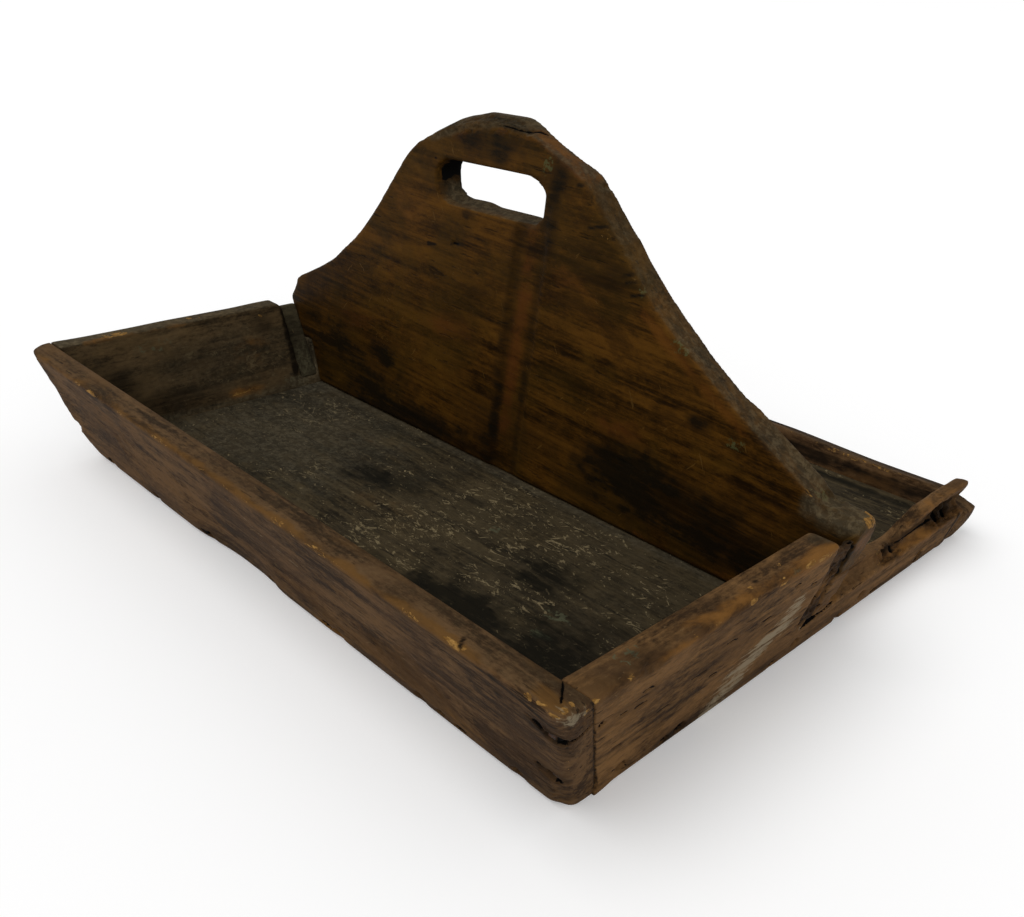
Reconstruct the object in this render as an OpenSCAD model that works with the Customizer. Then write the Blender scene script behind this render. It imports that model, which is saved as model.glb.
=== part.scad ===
// Wooden tool tote: a shallow tray with four leaning walls, split down its length by a
// tall divider board whose hand slot is the handle. The tray is nailed together from plain
// boards. One long side survives only as a low strip, and the end board beside it is broken.
// Millimetres. X runs along the tray, +X to the broken end; -Y is the whole long side; +Z is up.
// The origin is the middle of the underside.

/* [Tray] */
// Outer length at the rim
rim_length = 560; // [545:1:600]
// Outer width at the rim, as it was with both long sides whole
rim_width = 478; // [466:1:500]
// Height of the rim above the underside
wall_height = 91; // [87:1:97]
// How far each end leans out, from the underside to the rim
end_flare = 26.5; // [20:0.5:32]
// How far each long side leans out, from the underside to the rim
side_flare = 39; // [33:0.5:44]

/* [Boards] */
// Thickness of the long sides
side_thickness = 17; // [14:0.5:19]
// Thickness of the end boards
end_thickness = 18; // [16:0.5:20]
// Thickness of the two floor boards
floor_thickness = 20; // [17:0.5:22]
// Distance from the middle of the tray back to the seam between the floor boards
seam_shift = 5; // [4:0.5:7]
// Height left of the broken long side at its outer face
back_side_height = 30; // [28:0.5:32]
// Height left of the broken long side at its inner face
back_side_inner_height = 34; // [32:0.5:36]
// Height of that side's worn corner at the broken end
worn_corner_height = 24; // [22.5:0.5:26]
// Length of the slope down to the worn corner
worn_corner_length = 30; // [20:1:40]

/* [Divider] */
// Thickness of the divider
divider_thickness = 18.5; // [16:0.5:20]
// Distance from the middle of the tray back to the middle of the divider
divider_shift = 1.3; // [0.5:0.1:2.5]
// Height of the crown above the underside
crown_height = 270; // [264:1:285]
// Distance from the middle of the tray left to the crown
crown_shift = 17; // [10:1:24]
// How far the crown stays round on its left
crown_round_left = 69; // [62:1:76]
// How far the crown stays round on its right
crown_round_right = 49; // [43:1:56]
// Level distance from the crown to the steepest point of the left slope
left_slope_reach = 123; // [114:1:130]
// Height of the steepest point of the left slope
left_slope_height = 196; // [188:1:202]
// Steepness of the left slope in degrees
left_slope_angle = 50; // [46:1:54]
// How far the left slope stays near its steepest, up and down
left_slope_run = 58; // [50:1:64]
// Level distance from the crown to the steepest point of the right slope
right_slope_reach = 137; // [128:1:144]
// Height of the steepest point of the right slope
right_slope_height = 185; // [178:1:192]
// Steepness of the right slope in degrees
right_slope_angle = 45; // [41:1:49]
// How far the right slope stays near its steepest, up and down
right_slope_run = 45; // [38:1:52]
// Level distance from the rim's left end in to the left shoulder
left_shoulder_inset = 17; // [14:1:22]
// Height of the left shoulder above the rim
left_shoulder_rise = 21; // [17:1:24]
// Steepness of the left shoulder in degrees
left_shoulder_angle = 24; // [20:1:28]
// Level distance from the rim's right end in to the right shoulder
right_shoulder_inset = 30; // [27:1:34]
// Height of the right shoulder above the rim
right_shoulder_rise = 6; // [4:0.5:8]
// Steepness of the right shoulder in degrees
right_shoulder_angle = 30; // [26:1:34]
// How far the slopes run out over the two shoulders
shoulder_run = 50; // [44:1:56]
// Radius of the corners at the two ends of the shoulders
shoulder_corner = 9; // [6:0.5:11]
// Height at which the divider's end tongues begin
tongue_height = 56; // [50:1:62]

/* [Hand slot] */
// Length of the slot
slot_length = 108; // [100:1:116]
// Height of the slot's opening
slot_opening = 31; // [28:0.5:34]
// Distance from the middle of the tray left to the middle of the slot
slot_shift = 22; // [18:1:26]
// Wood left between the top of the slot and the crown
slot_cover = 32; // [28:0.5:36]
// Radius of the two corners at the slot's right end
slot_corner = 9; // [7:0.5:12]

/* [Groove] */
// Width of the shallow groove below the slot
groove_width = 29; // [22:1:32]
// Depth of the groove
groove_depth = 1.5; // [1:0.1:2]
// Distance from the middle of the tray right to the middle of the groove at the slot
groove_head_shift = 24; // [20:1:28]
// Distance from the middle of the tray left to the middle of the groove at the floor
groove_foot_shift = 2; // [0:1:8]

/* [Notches and fillers] */
// Height of the bottom of the notch for each filler
notch_height = 26; // [24:0.5:30]
// Width of each filler at the rim
filler_width = 22; // [19:0.5:24]
// Width of each filler at its foot
filler_foot_width = 16; // [13:0.5:17]
// How far each filler's top lies below the rim
filler_drop = 7; // [5:0.5:10]
// Thickness of each filler at its top
filler_top_thickness = 5; // [4:0.5:8]
// Clearance between the pieces in a notch
notch_play = 0.15; // [0.1:0.05:0.25]

/* [Broken end board] */
// Height left in the middle of the break
break_low = 32; // [30:0.5:34]
// Height left beside the broken long side
break_high = 47; // [44:0.5:51]
// Distance from the middle of the tray back to the lowest place of the break
break_low_shift = 102; // [94:1:108]
// Distance from the middle of the tray back to where the high strip begins
break_high_shift = 134; // [126:1:142]
// Steepness of the break where it leaves the divider, in degrees
break_angle = 25; // [20:1:30]
// How far the fall of the break runs out at its two ends
break_fall_run = 30; // [24:1:34]
// How far the rise of the break runs out at its two ends
break_rise_run = 12; // [8:1:15]
// How far the strip's tip is rounded over
break_tip_round = 5; // [3:0.5:7]
// Gap between the tip of the high strip and the low long side
break_tip_gap = 9; // [7:0.5:12]
// Height of the outer skin that is left below the break
skin_height = 26; // [24.5:0.5:28]
// Thickness that has split away above the skin
skin_depth = 8; // [6:0.5:10]

/* [Nails] */
// Length of a nail under its head
nail_length = 45; // [38:1:50]
// Width of a nail's shank under its head
nail_width = 3.6; // [3:0.1:4]
// Width of a nail's shank at its tip
nail_tip_width = 1.4; // [1:0.1:2]
// Thickness of a nail's shank
nail_thickness = 2.2; // [1.8:0.1:2.6]
// Width of a nail's head
nail_head_width = 5.6; // [4.6:0.1:6.4]
// Height of a nail's head along the nail
nail_head_depth = 1.6; // [1.2:0.1:2]
// How deep the middle of a head is punched below the face
nail_sink = 2.2; // [1.8:0.1:2.6]
// Clearance round each nail
nail_play = 0.1; // [0.05:0.05:0.15]
// Nails along each long side
long_side_nail_count = 7; // [5:1:7]
// Distance from the floor's ends to the outermost nails of a long side
side_nail_start = 12; // [11:0.5:20]
// Nails along each end
end_nail_count = 5; // [3:1:5]
// Distance from the floor's front edge to the first nail of an end
end_nail_start = 17; // [14:1:20]
// Distance from the floor's back edge to the last nail of an end
end_nail_finish = 49; // [40:1:56]
// Nails up through the floor into the divider
divider_nail_count = 4; // [2:2:4]
// Distance from the floor's ends to the outermost nails of the divider
divider_nail_start = 126; // [100:1:150]
// Height of the nails through the long sides into the floor
side_nail_height = 6; // [5:0.5:7]
// Height of the nails through the end boards into the floor
end_nail_height = 10.5; // [10:0.5:12]
// Height of the lower nail in each corner of the whole side
low_corner_nail_height = 28; // [24:0.5:34]
// Height of the upper nail in each corner of the whole side
high_corner_nail_height = 67; // [60:1:72]
// Height of the one nail in each corner of the low side
back_corner_nail_height = 18; // [16:0.5:19]

/* [Hidden] */
// Longer than any board, for cuts that run right through
past = 900;
// How far a cut passes the face that it opens
clear = 5;
// Steepness of the divider's outline at the roots of its two rounded ends, in degrees
left_end_angle = 98;
right_end_angle = 75;
// Steps of a long bend, of a tight one, and of the slot's circles
bend_steps = 14;
corner_steps = 6;
corner_fn = 48;

// Level thickness of the leaning boards
side_level = side_thickness / cos(atan(side_flare / wall_height));
end_level = end_thickness / cos(atan(end_flare / wall_height));

// Faces of the divider
divider_front = divider_shift - divider_thickness / 2;
divider_back = divider_shift + divider_thickness / 2;

// Height of the middle of the slot
slot_height = crown_height - slot_cover - slot_opening / 2;

// Level distances from the middle of the tray to the outer and inner faces at height z
function side_outer(z) = rim_width / 2 - side_flare * (1 - z / wall_height);
function side_inner(z) = side_outer(z) - side_level;
function end_outer(z) = rim_length / 2 - end_flare * (1 - z / wall_height);
function end_inner(z) = end_outer(z) - end_level;

// A smooth bend from a to b, without a itself; da and db pull on its two ends
function bend_point(a, da, b, db, t) = pow(1 - t, 3) * a + 3 * pow(1 - t, 2) * t * (a + da)
    + 3 * (1 - t) * t * t * (b - db) + t * t * t * b;
function bend(a, da, b, db, steps = bend_steps) =
    [for (i = [1:steps]) bend_point(a, da, b, db, i / steps)];
function pull(angle, reach) = reach * [cos(angle), sin(angle)];

// A drawing in width and height, pushed out along X
module along_x(length = past) {
    rotate([90, 0, 90])
        translate([0, 0, -length / 2])
            linear_extrude(height = length)
                children();
}

// A drawing in length and height, pushed out along Y from one place to another
module along_y(from = -past / 2, to = past / 2) {
    translate([0, to, 0])
        rotate([90, 0, 0])
            linear_extrude(height = to - from)
                children();
}

// The space between the outer faces of the two ends
module within_ends() {
    along_y()
        polygon([[-end_outer(0), 0], [end_outer(0), 0],
            [end_outer(wall_height), wall_height], [-end_outer(wall_height), wall_height]]);
}

// The space between the inner faces of the two ends, as high as the floor
module between_ends() {
    along_y()
        polygon([[-end_inner(0), 0], [end_inner(0), 0],
            [end_inner(floor_thickness), floor_thickness],
            [-end_inner(floor_thickness), floor_thickness]]);
}

// The space between the inner faces of the two long sides
module between_sides() {
    along_x()
        polygon([[-side_inner(0), 0], [side_inner(0), 0],
            [side_inner(wall_height), wall_height], [-side_inner(wall_height), wall_height]]);
}

// A cut nail along +X from the middle of its head's face. play widens it into its hole,
// and mouth carries the hole out through the face of the board.
module nail(play = 0, mouth = 0) {
    half_head = nail_head_width / 2 + play;
    half_root = nail_width / 2 + play;
    half_tip = nail_tip_width / 2 + play;
    tip = nail_head_depth + nail_length + play;
    translate([-mouth, -half_head, -half_head])
        cube([nail_head_depth + mouth + play, 2 * half_head, 2 * half_head]);
    translate([0, 0, -nail_thickness / 2 - play])
        linear_extrude(height = nail_thickness + 2 * play)
            polygon([[nail_head_depth, -half_root], [tip, -half_tip],
                [tip, half_tip], [nail_head_depth, half_root]]);
}

// The nails of one corner: through a long side into the end board's edge
module corner_nails(end_sign, side_sign, heights, play = 0, mouth = 0) {
    for (z = heights)
        translate([end_sign * (end_outer(z) - end_level / 2),
                side_sign * (side_outer(z) - nail_sink), z])
            rotate([0, 0, -90 * side_sign])
                nail(play, mouth);
}

// Places of a number of nails, evenly spread from one place to another
function spread(from, to, count) = [for (i = [0:count - 1]) from + (to - from) * i / (count - 1)];

// A row of nails through a long side into the floor's edge
module side_row(side_sign, play = 0, mouth = 0) {
    reach = end_inner(side_nail_height) - side_nail_start;
    for (x = spread(-reach, reach, long_side_nail_count))
        translate([x,
                side_sign * (side_outer(side_nail_height) - nail_sink), side_nail_height])
            rotate([0, 0, -90 * side_sign])
                nail(play, mouth);
}

// A row of nails through an end board into the floor boards' ends
module end_row(end_sign, play = 0, mouth = 0) {
    edge = side_inner(end_nail_height);
    for (y = spread(end_nail_start - edge, edge - end_nail_finish, end_nail_count))
        translate([end_sign * (end_outer(end_nail_height) - nail_sink), y, end_nail_height])
            rotate([0, 0, 90 + 90 * end_sign])
                nail(play, mouth);
}

// A row of nails up through the front floor board into the divider
module divider_row(play = 0, mouth = 0) {
    reach = end_inner(0) - divider_nail_start;
    for (x = spread(-reach, reach, divider_nail_count))
        translate([x, (divider_front + seam_shift) / 2, nail_sink - nail_head_depth])
            rotate([0, -90, 0])
                rotate([90, 0, 0])
                    nail(play, mouth);
}

// Heights of the corner nails of the whole side, and of the low one
whole_corner = [low_corner_nail_height, high_corner_nail_height];
low_corner = [back_corner_nail_height];

// Every nail hole of the tray
module nail_holes() {
    for (s = [-1, 1]) {
        corner_nails(s, -1, whole_corner, nail_play, clear);
        corner_nails(s, 1, low_corner, nail_play, clear);
        side_row(s, nail_play, clear);
        end_row(s, nail_play, clear);
    }
    divider_row(nail_play, clear);
}

// A floor board between two places across the tray; ends and edges follow the walls
module floor_board(from_foot, to_foot, from_top, to_top) {
    intersection() {
        between_ends();
        along_x()
            polygon([[from_foot, 0], [to_foot, 0], [to_top, floor_thickness],
                [from_top, floor_thickness]]);
    }
}

module floor_front() {
    color("#4a3b2c")
        difference() {
            floor_board(-side_inner(0), seam_shift, -side_inner(floor_thickness), seam_shift);
            nail_holes();
        }
}

module floor_back() {
    color("#54473a")
        difference() {
            floor_board(seam_shift + notch_play, side_inner(0), seam_shift + notch_play,
                side_inner(floor_thickness));
            nail_holes();
        }
}

// A long side standing on the -Y side, with the heights of its outer and inner top edges
module long_side(outer_height, inner_height) {
    intersection() {
        within_ends();
        along_x()
            polygon([[-side_outer(0), 0], [-side_inner(0), 0],
                [-side_inner(inner_height), inner_height],
                [-side_outer(outer_height), outer_height]]);
    }
}

module side_front() {
    color("#6b4a33")
        difference() {
            long_side(wall_height, wall_height);
            nail_holes();
        }
}

// The surviving strip of the broken side, worn down to its corner at the broken end
module side_back() {
    slope_end = end_outer(worn_corner_height);
    color("#5d4a38")
        difference() {
            mirror([0, 1, 0])
                long_side(back_side_height, back_side_inner_height);
            along_y()
                polygon([[slope_end - worn_corner_length, back_side_inner_height],
                    [slope_end, worn_corner_height],
                    [slope_end + past, worn_corner_height],
                    [slope_end + past, wall_height],
                    [slope_end - worn_corner_length, wall_height]]);
            nail_holes();
        }
}

// An end board standing at +X
module end_board() {
    intersection() {
        between_sides();
        along_y()
            polygon([[end_inner(0), 0], [end_outer(0), 0], [end_outer(wall_height), wall_height],
                [end_inner(wall_height), wall_height]]);
    }
}

// The notch down from the rim: the filler's space in front and the tongue's behind.
// Its front edge leans, so that the filler is wider at the rim.
module notch() {
    front_foot = divider_front - filler_foot_width - 2 * notch_play;
    front_rim = divider_front - filler_width - 2 * notch_play;
    tongue_back = divider_back + notch_play;
    along_x()
        polygon([[front_foot, notch_height], [divider_front, notch_height],
            [divider_front, tongue_height], [tongue_back, tongue_height],
            [tongue_back, wall_height + clear], [front_rim, wall_height + clear],
            [front_rim, wall_height]]);
}

module end_left() {
    color("#4f3a28")
        difference() {
            mirror([1, 0, 0])
                end_board();
            notch();
            nail_holes();
        }
}

// What has broken off the right end board behind the divider, seen along the tray: the
// break falls from the tongue to its lowest place and rises again to a strip by the side
module broken_off() {
    tip = side_inner(break_high) - break_tip_gap;
    start = [divider_back, tongue_height];
    low = [break_low_shift, break_low];
    high = [break_high_shift, break_high];
    along_x()
        polygon(concat([start],
            bend(start, pull(-break_angle, break_fall_run), low, pull(0, break_fall_run)),
            bend(low, pull(0, break_rise_run), high, pull(0, break_rise_run)),
            [[tip, break_high], [tip + break_tip_round / 2, break_high - break_tip_round],
                [tip + break_tip_round / 2, back_side_height], [past, back_side_height],
                [past, wall_height + clear], [divider_back, wall_height + clear]]));
}

// The outer half of the thickness, split away above the skin behind the divider
module split_off() {
    along_y(from = divider_back)
        polygon([[end_outer(skin_height), skin_height],
            [end_outer(skin_height) - skin_depth, skin_height + skin_depth / 2],
            [end_outer(wall_height) - skin_depth, wall_height + clear],
            [past, wall_height + clear], [past, skin_height]]);
}

module end_right() {
    color("#7a5634")
        difference() {
            end_board();
            notch();
            broken_off();
            split_off();
            nail_holes();
        }
}

// Outline of the divider in length and height, from its left foot round to its right foot
function divider_outline() =
    let (crown = [-crown_shift, crown_height],
        left_slope = crown - [left_slope_reach, crown_height - left_slope_height],
        right_slope = crown + [right_slope_reach, right_slope_height - crown_height],
        left_shoulder = [left_shoulder_inset - rim_length / 2, wall_height + left_shoulder_rise],
        right_shoulder = [rim_length / 2 - right_shoulder_inset,
            wall_height + right_shoulder_rise],
        left_end = [-end_outer(wall_height - shoulder_corner / 2),
            wall_height - shoulder_corner / 2],
        right_end = [end_outer(wall_height), wall_height])
    concat(
        [[-end_inner(floor_thickness), floor_thickness],
            [-end_inner(tongue_height), tongue_height],
            [-end_outer(tongue_height), tongue_height], left_end],
        bend(left_end, pull(left_end_angle, shoulder_corner), left_shoulder,
            pull(left_shoulder_angle, shoulder_corner), corner_steps),
        bend(left_shoulder, pull(left_shoulder_angle, shoulder_run), left_slope,
            pull(left_slope_angle, left_slope_run)),
        bend(left_slope, pull(left_slope_angle, left_slope_run), crown,
            pull(0, crown_round_left)),
        bend(crown, pull(0, crown_round_right), right_slope,
            pull(-right_slope_angle, right_slope_run)),
        bend(right_slope, pull(-right_slope_angle, right_slope_run), right_shoulder,
            pull(-right_shoulder_angle, shoulder_run)),
        bend(right_shoulder, pull(-right_shoulder_angle, shoulder_corner), right_end,
            pull(-right_end_angle, shoulder_corner / 2), corner_steps),
        [[end_outer(tongue_height), tongue_height],
            [end_inner(tongue_height), tongue_height],
            [end_inner(floor_thickness), floor_thickness]]);

// The hand slot, with a round left end and two tighter corners on the right
module slot_outline() {
    half = slot_opening / 2;
    left = -slot_shift - slot_length / 2;
    right = left + slot_length;
    translate([left + half, slot_height])
        circle(r = half, $fn = corner_fn);
    translate([left + half, slot_height - half])
        square([slot_length - half - slot_corner, slot_opening]);
    translate([left + half, slot_height - half + slot_corner])
        square([slot_length - half, slot_opening - 2 * slot_corner]);
    for (s = [-1, 1])
        translate([right - slot_corner, slot_height + s * (half - slot_corner)])
            circle(r = slot_corner, $fn = corner_fn);
}

// The shallow groove in the front face, from the slot down to the floor
module groove_outline() {
    half = groove_width / 2;
    polygon([[groove_head_shift - half, slot_height], [-groove_foot_shift - half, 0],
        [half - groove_foot_shift, 0], [groove_head_shift + half, slot_height]]);
}

module divider() {
    color("#8a5a2c")
        difference() {
            along_y(from = divider_front, to = divider_back)
                polygon(divider_outline());
            along_y(from = divider_front - clear, to = divider_back + clear)
                slot_outline();
            along_y(from = divider_front - clear, to = divider_front + groove_depth)
                groove_outline();
            divider_row(nail_play, clear);
        }
}

// The filler driven into the right notch in front of the divider. It thins towards its
// top, flush with the end board's outer face.
module filler() {
    back = divider_front - notch_play;
    front_foot = back - filler_foot_width;
    front_rim = back - filler_width;
    top = wall_height - filler_drop;
    foot = notch_height;
    intersection() {
        along_x()
            polygon([[front_foot, foot], [back, foot], [back, wall_height],
                [front_rim, wall_height]]);
        along_y()
            polygon([[end_inner(foot), foot], [end_outer(foot), foot], [end_outer(top), top],
                [end_outer(top) - filler_top_thickness, top]]);
    }
}

module filler_right() {
    color("#6e5a3c")
        filler();
}

module filler_left() {
    color("#6a6350")
        mirror([1, 0, 0])
            filler();
}

module corner_nails_front_left() {
    color("#3a3836")
        corner_nails(-1, -1, whole_corner);
}

module corner_nails_front_right() {
    color("#3a3836")
        corner_nails(1, -1, whole_corner);
}

module corner_nails_back_left() {
    color("#3a3836")
        corner_nails(-1, 1, low_corner);
}

module corner_nails_back_right() {
    color("#3a3836")
        corner_nails(1, 1, low_corner);
}

module floor_nails_front() {
    color("#3a3836")
        side_row(-1);
}

module floor_nails_back() {
    color("#3a3836")
        side_row(1);
}

module floor_nails_left() {
    color("#3a3836")
        end_row(-1);
}

module floor_nails_right() {
    color("#3a3836")
        end_row(1);
}

module divider_nails() {
    color("#3a3836")
        divider_row();
}

floor_front();
floor_back();
side_front();
side_back();
end_left();
end_right();
divider();
filler_left();
filler_right();
corner_nails_front_left();
corner_nails_front_right();
corner_nails_back_left();
corner_nails_back_right();
floor_nails_front();
floor_nails_back();
floor_nails_left();
floor_nails_right();
divider_nails();
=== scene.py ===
import math

import bmesh
import bpy
import numpy as np
from mathutils import Matrix, Vector


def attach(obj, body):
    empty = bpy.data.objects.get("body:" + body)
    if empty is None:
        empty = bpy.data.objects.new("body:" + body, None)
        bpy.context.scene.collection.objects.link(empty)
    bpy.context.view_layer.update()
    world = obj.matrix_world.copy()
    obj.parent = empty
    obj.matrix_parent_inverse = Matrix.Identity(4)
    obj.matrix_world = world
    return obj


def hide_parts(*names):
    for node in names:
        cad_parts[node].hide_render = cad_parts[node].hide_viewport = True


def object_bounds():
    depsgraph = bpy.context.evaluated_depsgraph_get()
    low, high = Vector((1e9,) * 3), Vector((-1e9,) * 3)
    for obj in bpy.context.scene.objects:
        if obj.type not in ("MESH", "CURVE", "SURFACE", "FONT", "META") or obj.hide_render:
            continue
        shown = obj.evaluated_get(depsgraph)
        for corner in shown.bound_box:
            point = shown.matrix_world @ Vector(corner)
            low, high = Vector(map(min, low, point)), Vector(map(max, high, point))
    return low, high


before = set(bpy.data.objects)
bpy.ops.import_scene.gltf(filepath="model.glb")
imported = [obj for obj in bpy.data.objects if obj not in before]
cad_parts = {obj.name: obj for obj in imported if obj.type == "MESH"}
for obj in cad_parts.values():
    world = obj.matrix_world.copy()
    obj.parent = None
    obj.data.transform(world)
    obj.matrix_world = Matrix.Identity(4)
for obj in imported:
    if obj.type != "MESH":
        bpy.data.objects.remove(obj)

scene = bpy.context.scene
cadBox = [list(corner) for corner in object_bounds()]
mm = 0.001
tiny = 1e-6


class NodeSheet:
    # one node tree, with a short call that adds a node and fills its inputs
    def __init__(self, tree):
        self.nodes, self.links = tree.nodes, tree.links

    def feed(self, socket, value):
        value = getattr(value, "socket", value)
        if isinstance(value, bpy.types.NodeSocket):
            self.links.new(value, socket)
        else:
            socket.default_value = value

    def add(self, kind, inputs, output=0, **settings):
        node = self.nodes.new(kind)
        for key, value in settings.items():
            setattr(node, key, value)
        for key, value in inputs.items():
            self.feed(node.inputs[key], value)
        return node.outputs[output]


# Camera, light and floor

viewpoint = {
    "place": (0.48122, -0.46911, 0.34691),
    "yaw": 45.57,
    "pitch": 25.35,
    "roll": 2.14,
    "lens": 35.05,
    "sensor": 36,
    "near": 0.01,
    "far": 100,
}

studio = {
    "ambient": 0.55,
    "keyFrom": (-0.35, -0.75, 1.6),
    "keyPower": 1.15,
    "fillFrom": (1.6, -0.9, 0.7),
    "fillPower": 0.55,
    "softness": 50,
    "floorColour": (240, 240, 240),
    "floorGlow": 0.2,
    "floorReach": 60.0,
}


def shade(red, green, blue):
    # a written colour, 0 to 255, as the linear values that Blender mixes
    linear = []
    for part in (red, green, blue):
        level = part / 255
        linear.append(level / 12.92 if level <= 0.04045 else ((level + 0.055) / 1.055) ** 2.4)
    return (*linear, 1.0)


def placeCamera():
    yaw, pitch, roll = (math.radians(viewpoint[key]) for key in ("yaw", "pitch", "roll"))
    level = Vector((math.cos(yaw), math.sin(yaw), 0))
    flatAhead = math.cos(pitch)
    ahead = Vector((-math.sin(yaw) * flatAhead, math.cos(yaw) * flatAhead, -math.sin(pitch)))
    above = level.cross(ahead)
    right = math.cos(roll) * level + math.sin(roll) * above
    up = -math.sin(roll) * level + math.cos(roll) * above
    turn = Matrix((right, up, -ahead)).transposed()
    lens = bpy.data.cameras.new("camera")
    lens.lens = viewpoint["lens"]
    lens.sensor_width = viewpoint["sensor"]
    lens.clip_start, lens.clip_end = viewpoint["near"], viewpoint["far"]
    camera = bpy.data.objects.new("camera", lens)
    camera.matrix_world = Matrix.Translation(viewpoint["place"]) @ turn.to_4x4()
    scene.collection.objects.link(camera)
    scene.camera = camera


def softLight(name, comesFrom, power):
    lamp = bpy.data.lights.new(name, "SUN")
    lamp.angle = math.radians(studio["softness"])
    lamp.energy = power
    light = bpy.data.objects.new(name, lamp)
    light.rotation_euler = (-Vector(comesFrom)).to_track_quat("-Z", "Y").to_euler()
    scene.collection.objects.link(light)


def lightStudio():
    softLight("keyLight", studio["keyFrom"], studio["keyPower"])
    softLight("fillLight", studio["fillFrom"], studio["fillPower"])
    world = bpy.data.worlds.new("studioAir")
    scene.world = world
    world.use_nodes = True
    sheet = NodeSheet(world.node_tree)
    seen = sheet.add("ShaderNodeLightPath", {}, "Is Camera Ray")
    # the camera sees plain white, and the part is lit by less
    level = sheet.add("ShaderNodeMix", {0: seen, 2: studio["ambient"], 3: 1.0}, data_type="FLOAT")
    back = sheet.nodes["Background"]
    sheet.feed(back.inputs["Strength"], level)
    sheet.feed(back.inputs["Color"], (1, 1, 1, 1))


def layFloor():
    reach = studio["floorReach"]
    corners = [(-reach, -reach, 0), (reach, -reach, 0), (reach, reach, 0), (-reach, reach, 0)]
    mesh = bpy.data.meshes.new("studioFloor")
    mesh.from_pydata(corners, [], [(0, 1, 2, 3)])
    floor = bpy.data.objects.new("studioFloor", mesh)
    scene.collection.objects.link(floor)
    paint = bpy.data.materials.new("floorWhite")
    paint.use_nodes = True
    sheet = NodeSheet(paint.node_tree)
    sheet.nodes.clear()
    matt = sheet.add("ShaderNodeBsdfDiffuse", {"Color": shade(*studio["floorColour"])})
    seen = sheet.add("ShaderNodeLightPath", {}, "Is Camera Ray")
    level = sheet.add("ShaderNodeMath", {0: seen, 1: studio["floorGlow"]}, operation="MULTIPLY")
    glow = sheet.add("ShaderNodeEmission", {"Strength": level})
    both = sheet.add("ShaderNodeAddShader", {0: matt, 1: glow})
    out = sheet.nodes.new("ShaderNodeOutputMaterial")
    sheet.feed(out.inputs["Surface"], both)
    mesh.materials.append(paint)


scene.view_settings.view_transform = "Standard"
placeCamera()
lightStudio()
layFloor()
print("camera, light and floor are placed")


# Wood finishes

class Signal:
    # a value in a material, on which plus, minus and times make math nodes
    def __init__(self, sheet, socket):
        self.sheet, self.socket = sheet, socket

    def __add__(self, other):
        return self.sheet.math("ADD", self, other)

    def __sub__(self, other):
        return self.sheet.math("SUBTRACT", self, other)

    def __mul__(self, other):
        return self.sheet.math("MULTIPLY", self, other)


class PaintSheet(NodeSheet):
    # a new material, with short calls for what these finishes use
    def __init__(self, name):
        self.material = bpy.data.materials.new(name)
        self.material.use_nodes = True
        super().__init__(self.material.node_tree)
        self.surface = self.nodes["Principled BSDF"]
        self.place = self.add("ShaderNodeTexCoord", {}, "Object")

    def signal(self, *parts, **settings):
        return Signal(self, self.add(*parts, **settings))

    def math(self, kind, first, second, clamp=False):
        inputs = {0: first, 1: second}
        return self.signal("ShaderNodeMath", inputs, operation=kind, use_clamp=clamp)

    def stretch(self, vector, scale=(1, 1, 1), turn=(0, 0, 0)):
        return self.add("ShaderNodeMapping", {"Vector": vector, "Rotation": turn, "Scale": scale})

    def noise(self, vector, *recipe):
        keys = ("Scale", "Detail", "Roughness", "Distortion")
        return self.signal("ShaderNodeTexNoise", {"Vector": vector, **dict(zip(keys, recipe))})

    def ramp(self, value, *levels):
        # a smooth fade between two levels, from 0 to 1 unless its ends are given too
        keys = ("From Min", "From Max", "To Min", "To Max")
        inputs = {"Value": value, **dict(zip(keys, levels))}
        kind = "ShaderNodeMapRange"
        return self.signal(kind, inputs, "Result", interpolation_type="SMOOTHSTEP")

    def mix(self, factor, first, second):
        inputs = {0: factor, 6: first, 7: second}
        return self.signal("ShaderNodeMix", inputs, 2, data_type="RGBA")

    def layer(self, name):
        return self.signal("ShaderNodeAttribute", {}, "Fac", attribute_name=name)

    def emboss(self, height, strength, distance):
        inputs = {"Strength": strength, "Distance": distance, "Height": height}
        self.feed(self.surface.inputs["Normal"], self.add("ShaderNodeBump", inputs))


paintMarks = ("bare", "amber", "grime", "dust", "split", "pale", "green", "rusty", "chips")

# how far each pattern is drawn out along the grain, or None where it isn't, then its scale,
# detail, roughness and distortion
patterns = {
    "threads": (0.022, 430, 3.0, 0.6, 0.0),
    "bands": (0.022, 100, 4.0, 0.6, 0.4),
    "streaks": (0.12, 150, 5.0, 0.68, 0.0),
    "mottle": (0.42, 38, 7.0, 0.66, 0.5),
    "grit": (0.42, 450, 4.0, 0.7, 0.0),
    "patches": (0.42, 27, 6.0, 0.65, 0.8),
    "clouds": (None, 13, 5.0, 0.6, 0.6),
    "specks": (None, 230, 5.0, 0.72, 0.5),
    "crowds": (None, 26, 3.0, 0.6, 0.0),
    "chipSpots": (0.42, 200, 6.0, 0.8, 1.2),
    "nickLines": (0.12, 340, 3.0, 0.62, 0.0),
    "flakes": (0.42, 290, 6.0, 0.78, 0.8),
}
scratchLines = (340, 2.0, 0.55, 0.0)

# patterns added up by weight: the wood's tone, what breaks up two layers, and the relief
toneParts = ("threads", "bands", "streaks", "mottle", "grit")
fibres = {"threads": 0.6, "grit": 0.4}
stainAndShadeBreakup = {"mottle": 0.4, "streaks": 0.4, "grit": 0.2}
relief = {
    "threads": 0.3, "streaks": 0.6, "specks": 0.5, "nicks": -0.45, "knocked": -0.15,
    "bared": -0.25,
}
bumpDistance = 0.0008

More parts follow.
